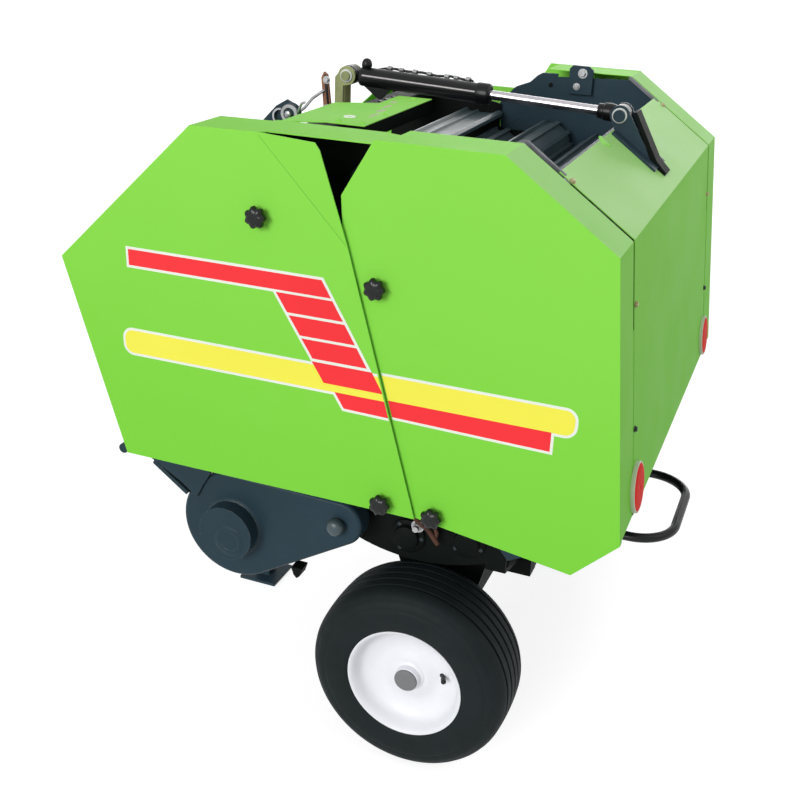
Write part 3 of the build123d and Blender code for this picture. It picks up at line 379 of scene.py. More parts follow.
class Shape:
    """A mesh put together from turned, extruded and swept forms."""

    def __init__(self):
        self.verts = []
        self.faces = []

    def add(self, verts, faces):
        base = len(self.verts)
        self.verts += [Vector(v) for v in verts]
        self.faces += [tuple(base + i for i in face) for face in faces]

    def rings(self, verts, steps, closed=False):
        """Joins rings of points to one another, and caps the ends or joins the last to the first."""
        kept = len(verts) - steps if closed else len(verts)
        faces = []
        for a in range(0, len(verts) - steps, steps):
            b = (a + steps) % kept
            for i in range(steps):
                j = (i + 1) % steps
                faces.append((a + i, a + j, b + j, b + i))
        if not closed:
            faces += [tuple(reversed(range(steps))), tuple(range(kept - steps, kept))]
        self.add(verts[:kept], faces)
        return self

    def lathe(self, profile, centre, direction, steps=48, lobes=0, lobe_depth=0.0, turn=0.0):
        """Turns (along, radius) points in millimetres about an axis, as a ring where they close."""
        first, second = square_to(direction)
        verts = []
        for along, radius in profile:
            for i in range(steps):
                t = 2 * pi * i / steps + turn
                scale = 1 - lobe_depth * (0.5 - 0.5 * cos(lobes * t)) if lobes else 1
                reach = radius * scale * MM
                spoke = first * cos(t) + second * sin(t)
                verts.append(centre + direction * (along * MM) + spoke * reach)
        return self.rings(verts, steps, closed=profile[0] == profile[-1])

    def prism(self, outline, origin, across, upward, depth):
        """An outline in millimetres in a plane, with a thickness given as a vector in metres."""
        flat = [origin + across * (a * MM) + upward * (b * MM) for a, b in outline]
        count = len(flat)
        verts = flat + [p + depth for p in flat]
        faces = [tuple(reversed(range(count))), tuple(range(count, 2 * count))]
        for i in range(count):
            j = (i + 1) % count
            faces.append((i, j, count + j, count + i))
        self.add(verts, faces)
        return self

    def side_plate(self, outline, y, thickness):
        """An outline of (forward, up) places, made thicker towards the left from y."""
        return self.prism(outline, at(0, y, 0), FORWARD, UP, LEFT * (thickness * MM))

    def mirrored_plate(self, outline, y, thickness):
        """A side plate on the left and its mirror image on the right."""
        for sign in SIGNS:
            self.side_plate(outline, y * sign, thickness * sign)
        return self

    def tube(self, path, radius, steps=12):
        """A round tube in millimetres of radius along points in the row frame."""
        verts = []
        normal = None
        for k, point in enumerate(path):
            before = path[max(k - 1, 0)]
            after = path[min(k + 1, len(path) - 1)]
            run = (after - before).normalized()
            if normal is None:
                normal = square_to(run)[0]
            normal = (normal - run * normal.dot(run)).normalized()
            second = run.cross(normal)
            for i in range(steps):
                t = 2 * pi * i / steps
                verts.append(point + (normal * cos(t) + second * sin(t)) * (radius * MM))
        return self.rings(verts, steps)

    def bolt(self, place, direction, flats, washer=0.0, turn=0.3):
        """A hexagon bolt head with a chamfered top, on a washer where one is wanted."""
        radius = flats / 2 / cos(pi / 6)
        height = flats * 0.42
        if washer:
            self.lathe(((0, 0.5), (0, washer), (1.6, washer), (1.6, 0.5)), place, direction, 32)
        low = 1.6 if washer else 0
        self.lathe(((low, 0.5), (low, radius), (low + height * 0.8, radius),
                    (low + height, radius * 0.84), (low + height, 0.5)), place, direction, 6, turn=turn)
        return self

    def make(self, name, material, body, slot=None, replaced=(), sharp=38, soften=0.0):
        """Turns the shape into a named piece that rides on a body."""
        mesh = bpy.data.meshes.new(name)
        mesh.from_pydata(self.verts, [], self.faces)
        mesh.validate()
        built = bmesh.new()
        built.from_mesh(mesh)
        bmesh.ops.recalc_face_normals(built, faces=built.faces)
        built.to_mesh(mesh)
        built.free()
        mesh.materials.append(material)
        mesh.shade_smooth()
        mesh.set_sharp_from_angle(angle=radians(sharp))
        piece = new_object(name, mesh)
        if soften:
            soften_edges(piece, soften)
        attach(piece, body)
        if replaced:
            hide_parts(*replaced)
        return piece


LEAST_TANGENT = 0.05


def rounded(points, radius, steps=8):
    """Points of a path with its corners turned into curves, in metres."""
    out = [points[0]]
    for before, corner, after in zip(points, points[1:], points[2:]):
        first = (before - corner).normalized()
        second = (after - corner).normalized()
        half = first.angle(second) / 2
        shorter = min((before - corner).length, (after - corner).length)
        reach = min(radius * MM / max(LEAST_TANGENT, tan(half)), 0.45 * shorter)
        start, end = corner + first * reach, corner + second * reach
        for i in range(steps + 1):
            t = i / steps
            out.append(start * (1 - t) ** 2 + corner * (2 * t * (1 - t)) + end * t ** 2)
    out.append(points[-1])
    return out


# Tyres, rims and valves

AXLE = (-12, 186)
TYRE_MIDDLE = 443.5
TYRE_RADIUS = 208
GROOVES = (-44, -22, 0, 22, 44)
GROOVE_HALF = 2.4
GROOVE_DEPTH = 6.0
SIDEWALL = ((-66, 112), (-72, 115), (-75.5, 119.5), (-78.2, 123), (-79.6, 128), (-79.8, 130.5), (-80.9, 136),
            (-82.0, 145), (-82.5, 155), (-82.4, 163), (-81.6, 169), (-80.4, 171), (-80.4, 173.5),
            (-79.2, 179), (-77.6, 184), (-75.4, 188), (-72.6, 190.4), (-70.4, 194.0), (-66, 198.4),
            (-59, 202.6), (-52, 205.0))


def tread_profile():
    """Section of the tyre all round: (across, radius)."""
    crown = []
    for middle in GROOVES:
        for offset, depth in ((-GROOVE_HALF - 0.8, 0), (-GROOVE_HALF, GROOVE_DEPTH),
                              (GROOVE_HALF, GROOVE_DEPTH), (GROOVE_HALF + 0.8, 0)):
            across = middle + offset
            crown.append((across, TYRE_RADIUS - 3.0 * (across / 55) ** 2 - depth))
    right = [(-a, r) for a, r in reversed(SIDEWALL)]
    inside = [(52, 111), (-52, 111)]
    return list(SIDEWALL) + crown + right + inside + [SIDEWALL[0]]


# Pressed rim from its outer lip over the dish to the hub and back: (outward, radius)
RIM_PROFILE = ((71, 112), (74.5, 118), (77, 120.6), (78.4, 120.4), (78.8, 118.6), (77.6, 116), (74, 112.5),
               (67, 109), (58, 106.5), (51, 103), (46, 97.5), (42, 90), (38.5, 80), (36.5, 70), (37.5, 60),
               (41, 50), (44.5, 42), (46.5, 35), (46.5, 24), (41, 24), (40.5, 40), (36, 50), (32, 60),
               (31, 72), (33, 83), (37, 92), (42, 100), (40, 103), (-20, 103), (-56, 104), (-64, 110),
               (-70, 118), (-72, 118), (-67, 108), (-58, 99), (-20, 97), (30, 97), (35, 104), (52, 107.5),
               (62, 109), (71, 112))

# White boss over the spindle, the grey cap that closes it, and the valve: (outward, radius)
HUB_BOSS = ((40, 0.5), (40, 34), (47.5, 33), (49.5, 30), (51, 27), (58, 26.2), (62, 25.6), (63, 24.4),
            (63, 0.5))
HUB_CAP = ((60, 0.5), (60, 23.8), (66, 23.8), (67.2, 23), (67.6, 21.6), (67.0, 16), (67.2, 0.5))
VALVE = ((0, 0.5), (0, 7), (2, 6.4), (4, 4.6), (14, 4.2), (15, 5.2), (25, 5.2), (26.5, 3.8), (26.5, 0.4))
VALVE_ROOT = (-80, 34, 199)
NUT_CIRCLE = 46

for sign, side in SIDES.items():
    wheel = f"wheel_{side}"
    out = LEFT * sign
    middle = at(AXLE[0], TYRE_MIDDLE * sign, AXLE[1])
    Shape().lathe(tread_profile(), middle, out, 160).make(
        f"tyre_ribbed_{side}", rubber, wheel, "tyre", (f"tyre_{side}",), sharp=30)
    Shape().lathe(RIM_PROFILE, middle, out, 112).make(
        f"rim_pressed_{side}", white_paint, wheel, "white_paint", (f"rim_{side}",), sharp=50)
    Shape().lathe(HUB_BOSS, middle, out, 64).make(f"hub_boss_{side}", white_paint, wheel, "white_paint")
    Shape().lathe(HUB_CAP, middle, out, 64).make(f"hub_cap_{side}", hub_zinc, wheel, "zinc")
    stem = (out * 0.9 + Vector((-0.35, 0, 0.08))).normalized()
    root = at(VALVE_ROOT[0], (TYRE_MIDDLE + VALVE_ROOT[1]) * sign, VALVE_ROOT[2])
    Shape().lathe(VALVE, root, stem, 24).make(f"valve_{side}", black_plastic, wheel, "black_plastic")
    nuts = Shape()
    for i in range(4):
        t = radians(45 + 90 * i)
        nuts.bolt(at(AXLE[0] + NUT_CIRCLE * cos(t), (TYRE_MIDDLE + 26) * sign, AXLE[1] + NUT_CIRCLE * sin(t)),
                  -out, 15, 11)
    nuts.make(f"wheel_nuts_{side}", zinc, wheel, "zinc")

# Lobed knobs with a domed top

KNOB_PROFILE = ((0, 9.0), (7.5, 9.0), (8.0, 14.5), (9.5, 18.2), (12, 19.8), (18, 20), (21.5, 18.6),
                (24, 15.0), (25, 9.0), (25, 0.5))
KNOBS = (("front_cover_knobs", "frame", COVER_FACE, ((270, 1108), (29, 611))),
         ("rear_cover_knobs", "tailgate", GATE_COVER_FACE, ((53, 1012), (-67, 602))))
for node_name, body, face, places in KNOBS:
    shape = Shape()
    for sign in SIGNS:
        for x, z in places:
            shape.lathe(KNOB_PROFILE, at(x, face * sign, z), LEFT * sign, 84, lobes=7, lobe_depth=0.17)
    shape.make(f"{node_name}_lobed", black_plastic, body, "black_plastic", (node_name,), sharp=60)

# Stripes on both sides: thin films in layers

FILM = 0.15
SEAM = ((-33, 589), (106, 1074))
SEAM_GAP = 2.0
COVERS = (("frame", COVER_FACE, 1), ("tailgate", GATE_COVER_FACE, -1))


def clipped(outline, point, normal):
    """The part of an outline on the side of a line that the normal points to."""
    out = []
    for a, b in zip(outline, outline[1:] + outline[:1]):
        da = (a[0] - point[0]) * normal[0] + (a[1] - point[1]) * normal[1]
        db = (b[0] - point[0]) * normal[0] + (b[1] - point[1]) * normal[1]
        if da >= 0:
            out.append(a)
        if (da < 0) != (db < 0):
            t = da / (da - db)
            out.append((a[0] + (b[0] - a[0]) * t, a[1] + (b[1] - a[1]) * t))
    return out


def grown(outline, distance):
    """An outline of corners moved outward by a distance."""
    count = len(outline)
    area = sum(a[0] * b[1] - b[0] * a[1] for a, b in zip(outline, outline[1:] + outline[:1]))
    sense = 1 if area > 0 else -1
    out = []
    for i in range(count):
        p, q, r = outline[i - 1], outline[i], outline[(i + 1) % count]
        first = Vector((q[0] - p[0], q[1] - p[1])).normalized()
        second = Vector((r[0] - q[0], r[1] - q[1])).normalized()
        n1 = Vector((first.y, -first.x)) * sense
        n2 = Vector((second.y, -second.x)) * sense
        both = (n1 + n2) / (1 + n1.dot(n2))
        out.append((q[0] + both.x * distance, q[1] + both.y * distance))
    return out


def rounded_bar(rear, front, low, high, corner):
    """A level bar with rounded ends."""
    points = []
    for cx, cz, start in ((front - corner, high - corner, 90), (front - corner, low + corner, 0),
                          (rear + corner, low + corner, -90), (rear + corner, high - corner, -180)):
        points += arc_points((cx, cz), corner, start, start - 90, 8)
    return points


def front_line(height, inset=0.0):
    """Forward edge of the slanted band at a height."""
    return 247.2 - 0.633 * (977 - height) - inset


def rear_line(height, inset=0.0):
    """Rearward edge of the slanted band at a height."""
    return 150.7 - 0.596 * (1016.9 - height) + inset


def step(low, high, front_inset, rear_inset):
    """A slanted step of the band between two heights."""
    return [(rear_line(high, rear_inset), high), (front_line(high, front_inset), high),
            (front_line(low, front_inset), low), (rear_line(low, rear_inset), low)]


LINE = 5.0
YELLOW = rounded_bar(-303, 560, 808, 853, 17)
BAR_TOP, BAR_LOW, BAR_FRONT, BAR_REAR = 1011, 981, 541, -265
UPPER_BAR = [(rear_line(BAR_TOP, LINE + 1), BAR_TOP), (BAR_FRONT, BAR_TOP), (BAR_FRONT, BAR_LOW),
             (rear_line(BAR_LOW, LINE + 1), BAR_LOW)]
STEP_TOP, STEP_HEIGHT, STEP_PITCH = 976.5, 34, 39
STEPS = [step(STEP_TOP - STEP_HEIGHT - STEP_PITCH * i, STEP_TOP - STEP_PITCH * i, LINE + 1, LINE + 1)
         for i in range(3)]
OVER_YELLOW = step(822, 859, 1, 0)
LOWER_BAR = [(BAR_REAR, 808.5), (front_line(808.5, 14), 808.5), (front_line(780, 14), 780),
             (BAR_REAR, 773)]
# White ground under the upper bar and the steps, and under the lower bar
CHAIN_GROUND = [(rear_line(856), 856), (rear_line(BAR_TOP + LINE), BAR_TOP + LINE),
                (BAR_FRONT + LINE, BAR_TOP + LINE), (BAR_FRONT + LINE, BAR_LOW - LINE),
                (front_line(BAR_LOW - LINE), BAR_LOW - LINE), (front_line(856), 856)]
LOWER_GROUND = [(BAR_REAR - LINE, 808), (front_line(808, 8), 808), (front_line(775, 8), 775),
                (BAR_REAR - LINE, 768)]


def film(name, outlines, material, layer):
    """Lays outlines on the covers of both sides, parted at the seam."""
    run = run_between(*SEAM)
    normal = (run.z, -run.x)
    for body, face, ahead in COVERS:
        towards = (normal[0] * ahead, normal[1] * ahead)
        point = (SEAM[0][0] + towards[0] * SEAM_GAP, SEAM[0][1] + towards[1] * SEAM_GAP)
        shape = Shape()
        for sign in SIGNS:
            for outline in outlines:
                part = clipped(list(outline), point, towards)
                if len(part) > 2:
                    shape.side_plate(part, (face + layer * FILM) * sign, sign * FILM)
        if shape.verts:
            shape.make(f"{name}_{body}", material, body)


film("stripe_yellow_ground", [grown(YELLOW, LINE)], white_film, 0)
film("stripe_red_ground", [CHAIN_GROUND, LOWER_GROUND], white_film, 1)
film("stripe_yellow", [YELLOW], yellow_film, 2)
film("stripe_red", [UPPER_BAR, *STEPS, OVER_YELLOW, LOWER_BAR], red_film, 3)

# Faint darker line along the bend behind the front cover's top corner: painted shade of the crease
CREASE = ((106, 1074), (275, 1248))
crease = Shape()
crease_run = run_between(*CREASE)
crease.prism(((4, -0.8), (236, -0.8), (236, 0.8), (4, 0.8)), at(CREASE[0][0], COVER_FACE, CREASE[0][1]),
             crease_run, crease_run.cross(LEFT), LEFT * (FILM * MM))
crease.make("cover_crease_painted_shade", green_shade, "frame", "green_paint")

# Reflectors: a pale cup with a domed red lens

REAR_LOW = (-401.0, 623.0)
REAR_HIGH = (-344.0, 1119.0)
rear_run = run_between(REAR_LOW, REAR_HIGH)
rear_out = Vector((-rear_run.z, 0, rear_run.x))


def on_rear(height, y, proud=0.0):
    """A place on the tailgate's rear face."""
    t = (height - REAR_LOW[1]) / (REAR_HIGH[1] - REAR_LOW[1])
    return at(REAR_LOW[0] + t * (REAR_HIGH[0] - REAR_LOW[0]), y, height) + rear_out * (proud * MM)


REFLECTOR_Y, REFLECTOR_HEIGHT = 420, 672
LENS = ((4, 43.4), (7.6, 43.4), (8.8, 41), (9.6, 34), (9.9, 22), (9.9, 3.4), (9.1, 2.6), (9.1, 0.4))
cups, lenses = Shape(), Shape()
for sign in SIGNS:
    middle = on_rear(REFLECTOR_HEIGHT, REFLECTOR_Y * sign)
    cups.lathe(((0, 45), (0, 47), (6.5, 47), (7.5, 46), (7.5, 43.5), (5, 43)), middle, rear_out, 72)
    lenses.lathe(LENS, middle, rear_out, 72)
cups.make("reflector_cups", pale_rim, "tailgate", "red_lens")
lenses.make("reflector_lenses", red_lens, "tailgate", "red_lens", ("reflectors",))

# Cylinder: barrel with its fin and port, rod, pipe along the barrel, pin ends

CYL_FRONT = at(355, 0, 1268)
CYL_REAR = at(-220, 0, 1242)
cyl_run = (CYL_REAR - CYL_FRONT).normalized()
cyl_up = LEFT.cross(cyl_run).normalized()


def on_cylinder(along, left=0.0, rise=0.0):
    """A place beside the cylinder, measured from its front pin."""
    return CYL_FRONT + cyl_run * (along * MM) + LEFT * (left * MM) + cyl_up * (rise * MM)


def eye(bore, edge, outer):
    """Section of a pin's eye, 24 mm wide, with chamfered edges."""
    return (-12, bore), (-12, edge), (-10.5, outer), (10.5, outer), (12, edge), (12, bore), (-12, bore)


PIN_SPAN = (CYL_REAR - CYL_FRONT).length / MM
BARREL, ROD = 19.5, 9.4
BARREL_END = 309
ROD_END = PIN_SPAN - 47
barrel = Shape()
barrel.lathe(((8, 0.5), (8, 11), (20, 12), (23, 16), (26, BARREL - 0.6), (29, BARREL),
              (BARREL_END - 31, BARREL), (BARREL_END - 29, BARREL + 1.2), (BARREL_END - 26, BARREL + 2),
              (BARREL_END - 6, BARREL + 2), (BARREL_END - 3, BARREL + 1.4), (BARREL_END - 1, BARREL - 1),
              (BARREL_END, 15), (BARREL_END, 0.5)), CYL_FRONT, cyl_run, 64)
barrel.lathe(eye(9.7, 18, 19.6), CYL_FRONT, LEFT, 48)
FIN = ((328, 1252), (262, 1248), (281, 1226), (284, 1223.5), (289, 1223.5), (293, 1226))
barrel.side_plate(FIN, -4, 8)
barrel.lathe(((0, 0.5), (0, 8), (12, 8), (13, 9.5), (15, 10.5), (20, 11), (26, 9.4), (29.5, 6.4), (31, 3),
              (31.2, 0.5)), at(318, 0, 1272.5), UP, 40)
barrel.make("cylinder_barrel_turned", black, "cylinder_barrel", "black_paint", ("cylinder_barrel",), sharp=45)
rod = Shape().lathe(((270, 0.5), (270, ROD), (ROD_END + 1, ROD), (ROD_END + 1, 0.5)), CYL_FRONT, cyl_run, 48)
rod.make("cylinder_rod_polished", chrome, "cylinder_rod", "chrome", ("cylinder_rod",))
rod_end = Shape()
rod_end.lathe(((ROD_END, 0.5), (ROD_END, 13), (ROD_END + 2, 14.5), (ROD_END + 11, 14.5), (ROD_END + 13, 16.5),
               (ROD_END + 23, 17.5), (ROD_END + 33, 16), (ROD_END + 39, 12), (ROD_END + 39, 0.5)),
              CYL_FRONT, cyl_run, 40)
rod_end.lathe(eye(10.2, 16.5, 18), CYL_REAR, LEFT, 48)
rod_end.make("cylinder_rod_end", black, "cylinder_rod", "black_paint")
# A pale grey strip along the middle of the black barrel: painted highlight
seam = Shape().tube([on_cylinder(34, BARREL - 1.1, 4.5), on_cylinder(298, BARREL - 1.1, 4.5)], 2.0, 12)
seam.make("barrel_painted_highlight", painted_highlight_grey, "cylinder_barrel", "chrome")

# Thin oil pipe on the barrel's far side, with short clips
PIPE = ((268, -10, 15), (262, -16, 20), (244, -19, 19), (214, -20, 21.5), (184, -20, 18.5), (152, -20, 21),
        (120, -20, 19), (92, -20, 20.5), (72, -19, 19), (58, -14, 16), (50, -8, 12))
pipe = Shape().tube(rounded([on_cylinder(*place) for place in PIPE], 12), 2.6, 10)
pipe.make("barrel_pipe", black, "cylinder_barrel", "black_paint")
clips = Shape()
for along, size in ((252, 5.4), (226, 4.6), (206, 5.2), (168, 4.8), (136, 5.4), (106, 4.6), (80, 5.2)):
    clips.lathe(((-5, 1), (-5, size - 1), (-4, size), (4, size), (5, size - 1), (5, 1)),
                on_cylinder(along, -20, 20), (cyl_run + LEFT * 0.25).normalized(), 10)
clips.make("pipe_clips", zinc, "cylinder_barrel", "zinc")

FRONT_PIN = ((20, 0.5), (20, 13.4), (23.5, 13.4), (24.4, 12.4), (24.4, 9.6), (23.6, 9), (23.6, 6), (27, 5.4),
             (28, 4.4), (28, 0.4))
REAR_PIN = ((21, 0.5), (21, 14.5), (24.4, 14.5), (25.4, 13.6), (25.4, 10.4), (24.4, 9.6), (24.4, 6.6),
            (25.6, 5.8), (25.8, 0.5))
for name, body, centre, section, steps in (("front_pin_ends", "frame", CYL_FRONT, FRONT_PIN, 40),
                                           ("rear_pin_ends", "tailgate", CYL_REAR, REAR_PIN, 48)):
    pin = Shape()
    for sign in SIGNS:
        pin.lathe(section, centre, LEFT * sign, steps)
    pin.make(name, pin_face, body, "zinc")

# Small ironwork round the lever

LEVER_EDGE = ((388, 1208), (392, 1208), (400, 1262), (398, 1270), (393.5, 1266))
Shape().side_plate(LEVER_EDGE, 33.5, 2.5).make(
    "lever_edge", black_plastic, "frame", "black_plastic", soften=0.6)
ironwork = Shape()
ironwork.bolt(at(388, 42, 1200), LEFT, 13, 10)
ironwork.bolt(at(374, 41, 1206), LEFT, 10, 8)
ironwork.tube([at(400, 34, 1236), at(414, 60, 1222), at(420, 84, 1206), at(424, 120, 1196)], 3)
ironwork.lathe(((-4, 2), (-4, 7), (4, 7), (4, 2), (-4, 2)), at(424, 122, 1196), LEFT, 20)
ironwork.bolt(at(393, 36, 1258), LEFT, 10, 8)
ironwork.make("lever_ironwork", zinc, "frame", "zinc")

# Twine guide: pale faces and a nut on its wheel
guide = Shape()
guide.lathe(((0, 11), (0, 18.5), (1.6, 17.6), (1.6, 12), (0, 11)), at(398, 198.2, 1212), LEFT, 40)
guide.lathe(((0, 0.5), (0, 7.5), (4, 7), (5, 5.5), (5, 0.5)), at(398, 202, 1212), LEFT, 6)
guide.lathe(((-3, 13), (-3, 16.5), (3, 16.5), (3, 13), (-3, 13)), at(424, 186, 1203), LEFT, 28)
guide.tube([at(380, 196, 1216), at(366, 208, 1236), at(356, 214, 1240)], 2.6)
guide.make("twine_guide_faces", zinc, "frame", "zinc")

# Hood: stepped sheet, low screws, a white ring, worn streaks and a black strip at its rear edge

HOOD_TOP = 1250
HOOD_PROFILE = ((138, HOOD_TOP), (209, HOOD_TOP), (300, 1243), (392, 1190))
HOOD_SHEET = 2.0
HOOD_EDGE_Y, HOOD_STEP_Y, HOOD_STRIP_Y = 425, 194, 92
hood = Shape()
under = [(x, z - HOOD_SHEET) for x, z in reversed(HOOD_PROFILE)]
hood.side_plate((*HOOD_PROFILE, *under), HOOD_STEP_Y, HOOD_EDGE_Y - HOOD_STEP_Y)
hood.side_plate((*HOOD_PROFILE[:2], *under[-2:]), HOOD_STRIP_Y, HOOD_STEP_Y - HOOD_STRIP_Y)
hood.make("hood_folded", green, "frame", "green_paint", ("hood",), soften=0.7)
hood_screws = Shape()
for x, y in ((150, 404), (150, 300), (196, 404), (168, 112)):
    hood_screws.lathe(((0, 0.5), (0, 5), (1.6, 4.2), (2.4, 2.4), (2.6, 0.5)), at(x, y, HOOD_TOP), UP, 24)
hood_screws.make("hood_screws", green, "frame", "green_paint")
ring = Shape()
ring.lathe(((0, 6), (0, 11), (1.2, 10.6), (1.8, 9), (1.4, 6.6), (0, 6)), at(195, 360, HOOD_TOP), UP, 32)
ring.make("hood_ring", white_film, "frame", "white_paint")
streak = Shape()
for x, y, reach, width in ((162, 300, 44, 5), (168, 256, 30, 8), (176, 206, 36, 6), (184, 160, 24, 7)):
    streak.prism(((0, 0), (width, 3), (width * 1.3, reach * 0.5), (width, reach), (width * 0.3, reach - 4),
                  (-width * 0.3, reach * 0.4)), at(x, y, HOOD_TOP), FORWARD, LEFT, UP * (0.12 * MM))
streak.make("hood_worn_streak", worn_paint, "frame", "green_paint")
edge = Shape().tube([at(213, 98, 1246), at(214, 128, 1247), at(213, 160, 1246), at(214, 190, 1246)], 3.2, 10)
for y in (112, 146, 176):
    edge.lathe(((-4, 1), (-4, 5), (4, 5), (4, 1), (-4, 1)), at(213.5, y, 1246.5), LEFT, 16)
edge.make("hood_edge_strip", black_plastic, "frame", "black_plastic")

# Teardrop cases: domed bolt on the pivot, rings round the boss, foot, gusset to the pickup's arm

PIVOT = (144.5, 501.2)
REEL = (375.0, 440.0)
case_bolts, caps = Shape(), Shape()
for sign in SIGNS:
    out = LEFT * sign
    case_bolts.lathe(((10, 0.5), (10, 18), (15, 17.8), (20, 16), (23.4, 12), (25.2, 6.5), (25.6, 0.5)),
                     at(PIVOT[0], CASE_FACE * sign, PIVOT[1]), out, 48)
    caps.lathe(((35.4, 34), (36.2, 33), (37.0, 24), (37.0, 21.6), (36.2, 20), (35.4, 20), (35.4, 34)),
               at(366, CASE_FACE * sign, 425), out, 64)
    caps.lathe(((-1, 58), (-1, 66), (1.5, 64), (4, 60), (5, 58), (-1, 58)),
               at(REEL[0], CASE_FACE * sign, REEL[1]), out, 72)
case_bolts.make("case_bolts", slate_steel, "pickup", "slate_paint")
GUSSET = ((560, 556), (543, 547), (493, 519), (455, 490), (440, 520), (421, 551), (430, 560))
gussets = Shape().mirrored_plate(GUSSET, CASE_FACE + 2, 4)
gussets.make("arm_gussets", slate, "pickup", "slate_paint", soften=0.6)
caps.make("case_cap_rings", slate, "pickup", "slate_paint")
FOOT = ((251, 372), (245, 354), (238, 347), (232, 353), (226, 372))
feet = Shape().mirrored_plate(FOOT, CASE_FACE - 7, -30)
feet.make("case_feet", black_and_painted_shade, "pickup", "slate_paint", soften=1.5)

# Right chamber plate: the CAD plate with its top cut down to a slope
TOP_CUTS = (((150, 1168), (300, 1196)), ((300, 1196), (430, 1196)))
plate_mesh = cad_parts["chamber_plate_right"].data.copy()
plate = new_object("chamber_plate_right_sloped", plate_mesh)
built = bmesh.new()
built.from_mesh(plate_mesh)
bmesh.ops.remove_doubles(built, verts=built.verts, dist=MELT)
for start, end in TOP_CUTS:
    cut_run = run_between(start, end)
    cut_up = Vector((-cut_run.z, 0, cut_run.x))
    everything = list(built.verts) + list(built.edges) + list(built.faces)
    sliced = bmesh.ops.bisect_plane(built, geom=everything, plane_co=at(start[0], 0, start[1]),
                                    plane_no=cut_up, clear_outer=True)
    rim_edges = [e for e in sliced["geom_cut"] if isinstance(e, bmesh.types.BMEdge)]
    bmesh.ops.edgenet_fill(built, edges=rim_edges)
bmesh.ops.recalc_face_normals(built, faces=built.faces)
built.to_mesh(plate_mesh)
built.free()
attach(plate, "frame")
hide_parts("chamber_plate_right")

# Ribbed slat over the frame's upper roller, and the black plate beside it on the left
SLAT = ((238, 1140), (238, 1149), (235, 1153), (231, 1153), (226, 1146), (211, 1145), (208, 1150),
        (204, 1150), (200, 1144), (162, 1145), (156, 1152), (150, 1153), (143, 1148), (143, 1140))
SLAT_HALF = 424
slat = Shape().side_plate(SLAT, -SLAT_HALF, 2 * SLAT_HALF)
slat.make("upper_slat", slate_steel, "frame", "slate_paint", soften=0.6)
filler = Shape().side_plate(((118, 1112), (152, 1112), (152, 1238), (118, 1238)), PLATE_FACE - 5, 4.7)
filler.make("upper_filler", black_and_painted_shade, "frame", "slate_paint", soften=0.6)

# Roller bearings on the side plates

CHAMBER = (9.0, 780.0)
ROLLER_CIRCLE = 310.0
HINGE_ANGLE = 25.073
STEP = 23.1
ROLLERS = (("frame", PLATE_FACE, (1, 2, 3, -8, -9)),
           ("tailgate", GATE_PLATE_FACE, (-1, -2, -3, -4, -5, -6, -7)))
HOUSING = ((0.2, 0.5), (0.2, 36), (5, 36), (7, 33), (7, 27), (15, 24), (17, 19), (17, 0.5))
for body, face, steps in ROLLERS:
    housings, screws = Shape(), Shape()
    for sign in SIGNS:
        out = LEFT * sign
        for n in steps:
            t = radians(HINGE_ANGLE + n * STEP)
            x, z = CHAMBER[0] + ROLLER_CIRCLE * sin(t), CHAMBER[1] + ROLLER_CIRCLE * cos(t)
            housings.lathe(HOUSING, at(x, face * sign, z), out, 36)
            for i in range(3):
                a = t + radians(120 * i)
                screws.bolt(at(x + 30 * cos(a), (face + 5) * sign, z + 30 * sin(a)), out, 8)
    housings.make(f"bearings_{body}", black_and_painted_shade, body, "slate_paint")
    screws.make(f"bearing_screws_{body}", casting, body, "zinc")

# Tailgate sheet: screws, a paler film on its slope as painted sheen, cap, edge strips and lips along its
# sides

SLOPE_HIGH = (-151.0, 1255.0)
slope_run = run_between(SLOPE_HIGH, REAR_HIGH)
slope_out = Vector((slope_run.z, 0, -slope_run.x))


def on_slope(distance, y, proud=0.0):
    """A place on the tailgate's slope, measured down it from its top."""
    start = at(SLOPE_HIGH[0], y, SLOPE_HIGH[1])
    return start + slope_run * (distance * MM) + slope_out * (proud * MM)


SCREW_Y = 430
brass_screws, dark_screws = Shape(), Shape()
for sign in SIGNS:
    brass_screws.bolt(on_slope(98, SCREW_Y * sign), slope_out, 8, 6.5)
    brass_screws.bolt(on_rear(1010, SCREW_Y * sign), rear_out, 8, 6)
    dark_screws.bolt(on_rear(787, SCREW_Y * sign), rear_out, 8, 6)
brass_screws.make("sheet_screws", brass_zinc, "tailgate", "zinc")
dark_screws.make("sheet_screws_dark", casting, "tailgate", "zinc")
SHEET_TOP, SHEET_FOLD, SHEET_HALF = 72.5, 235.5, 435.5
# Thin pale sheet over the slope: painted sheen
slope_face = Shape().prism(((SHEET_TOP, 0.02), (SHEET_FOLD, 0.02), (SHEET_FOLD, 0.4), (SHEET_TOP, 0.4)),
                           on_slope(0, -SHEET_HALF), slope_run, slope_out, LEFT * (2 * SHEET_HALF * MM))
slope_face.make("sheet_slope_painted_sheen", slope_sheen_green, "tailgate", "green_paint")
Shape().lathe(((0, 0.5), (0, 15), (1.6, 14.6), (3.0, 11), (3.6, 0.5)), on_slope(80, 122), slope_out, 40).make(
    "sheet_cap", green, "tailgate", "green_paint")
strips = Shape()
for sign in SIGNS:
    corner = on_slope(0, 432 * sign, -5)
    strips.prism(((-1, 0), (84, 0), (84, 6.5), (-1, 6.5)), corner, slope_run, slope_out,
                 LEFT * (-8 * sign * MM))
strips.make("plate_edge_strips", edge_grey, "tailgate", "slate_paint", soften=0.6)
# Lips of the rear sheet under the covers' flanges
lips = Shape()
for sign in SIGNS:
    low_corner = on_rear(640, SCREW_Y * sign, -2.6)
    lips.prism(((0, 0), (330, 0), (330, 1.6), (0, 1.6)), low_corner, rear_run, rear_out,
               LEFT * (20 * sign * MM))
lips.make("sheet_side_lips", green, "tailgate", "green_paint")

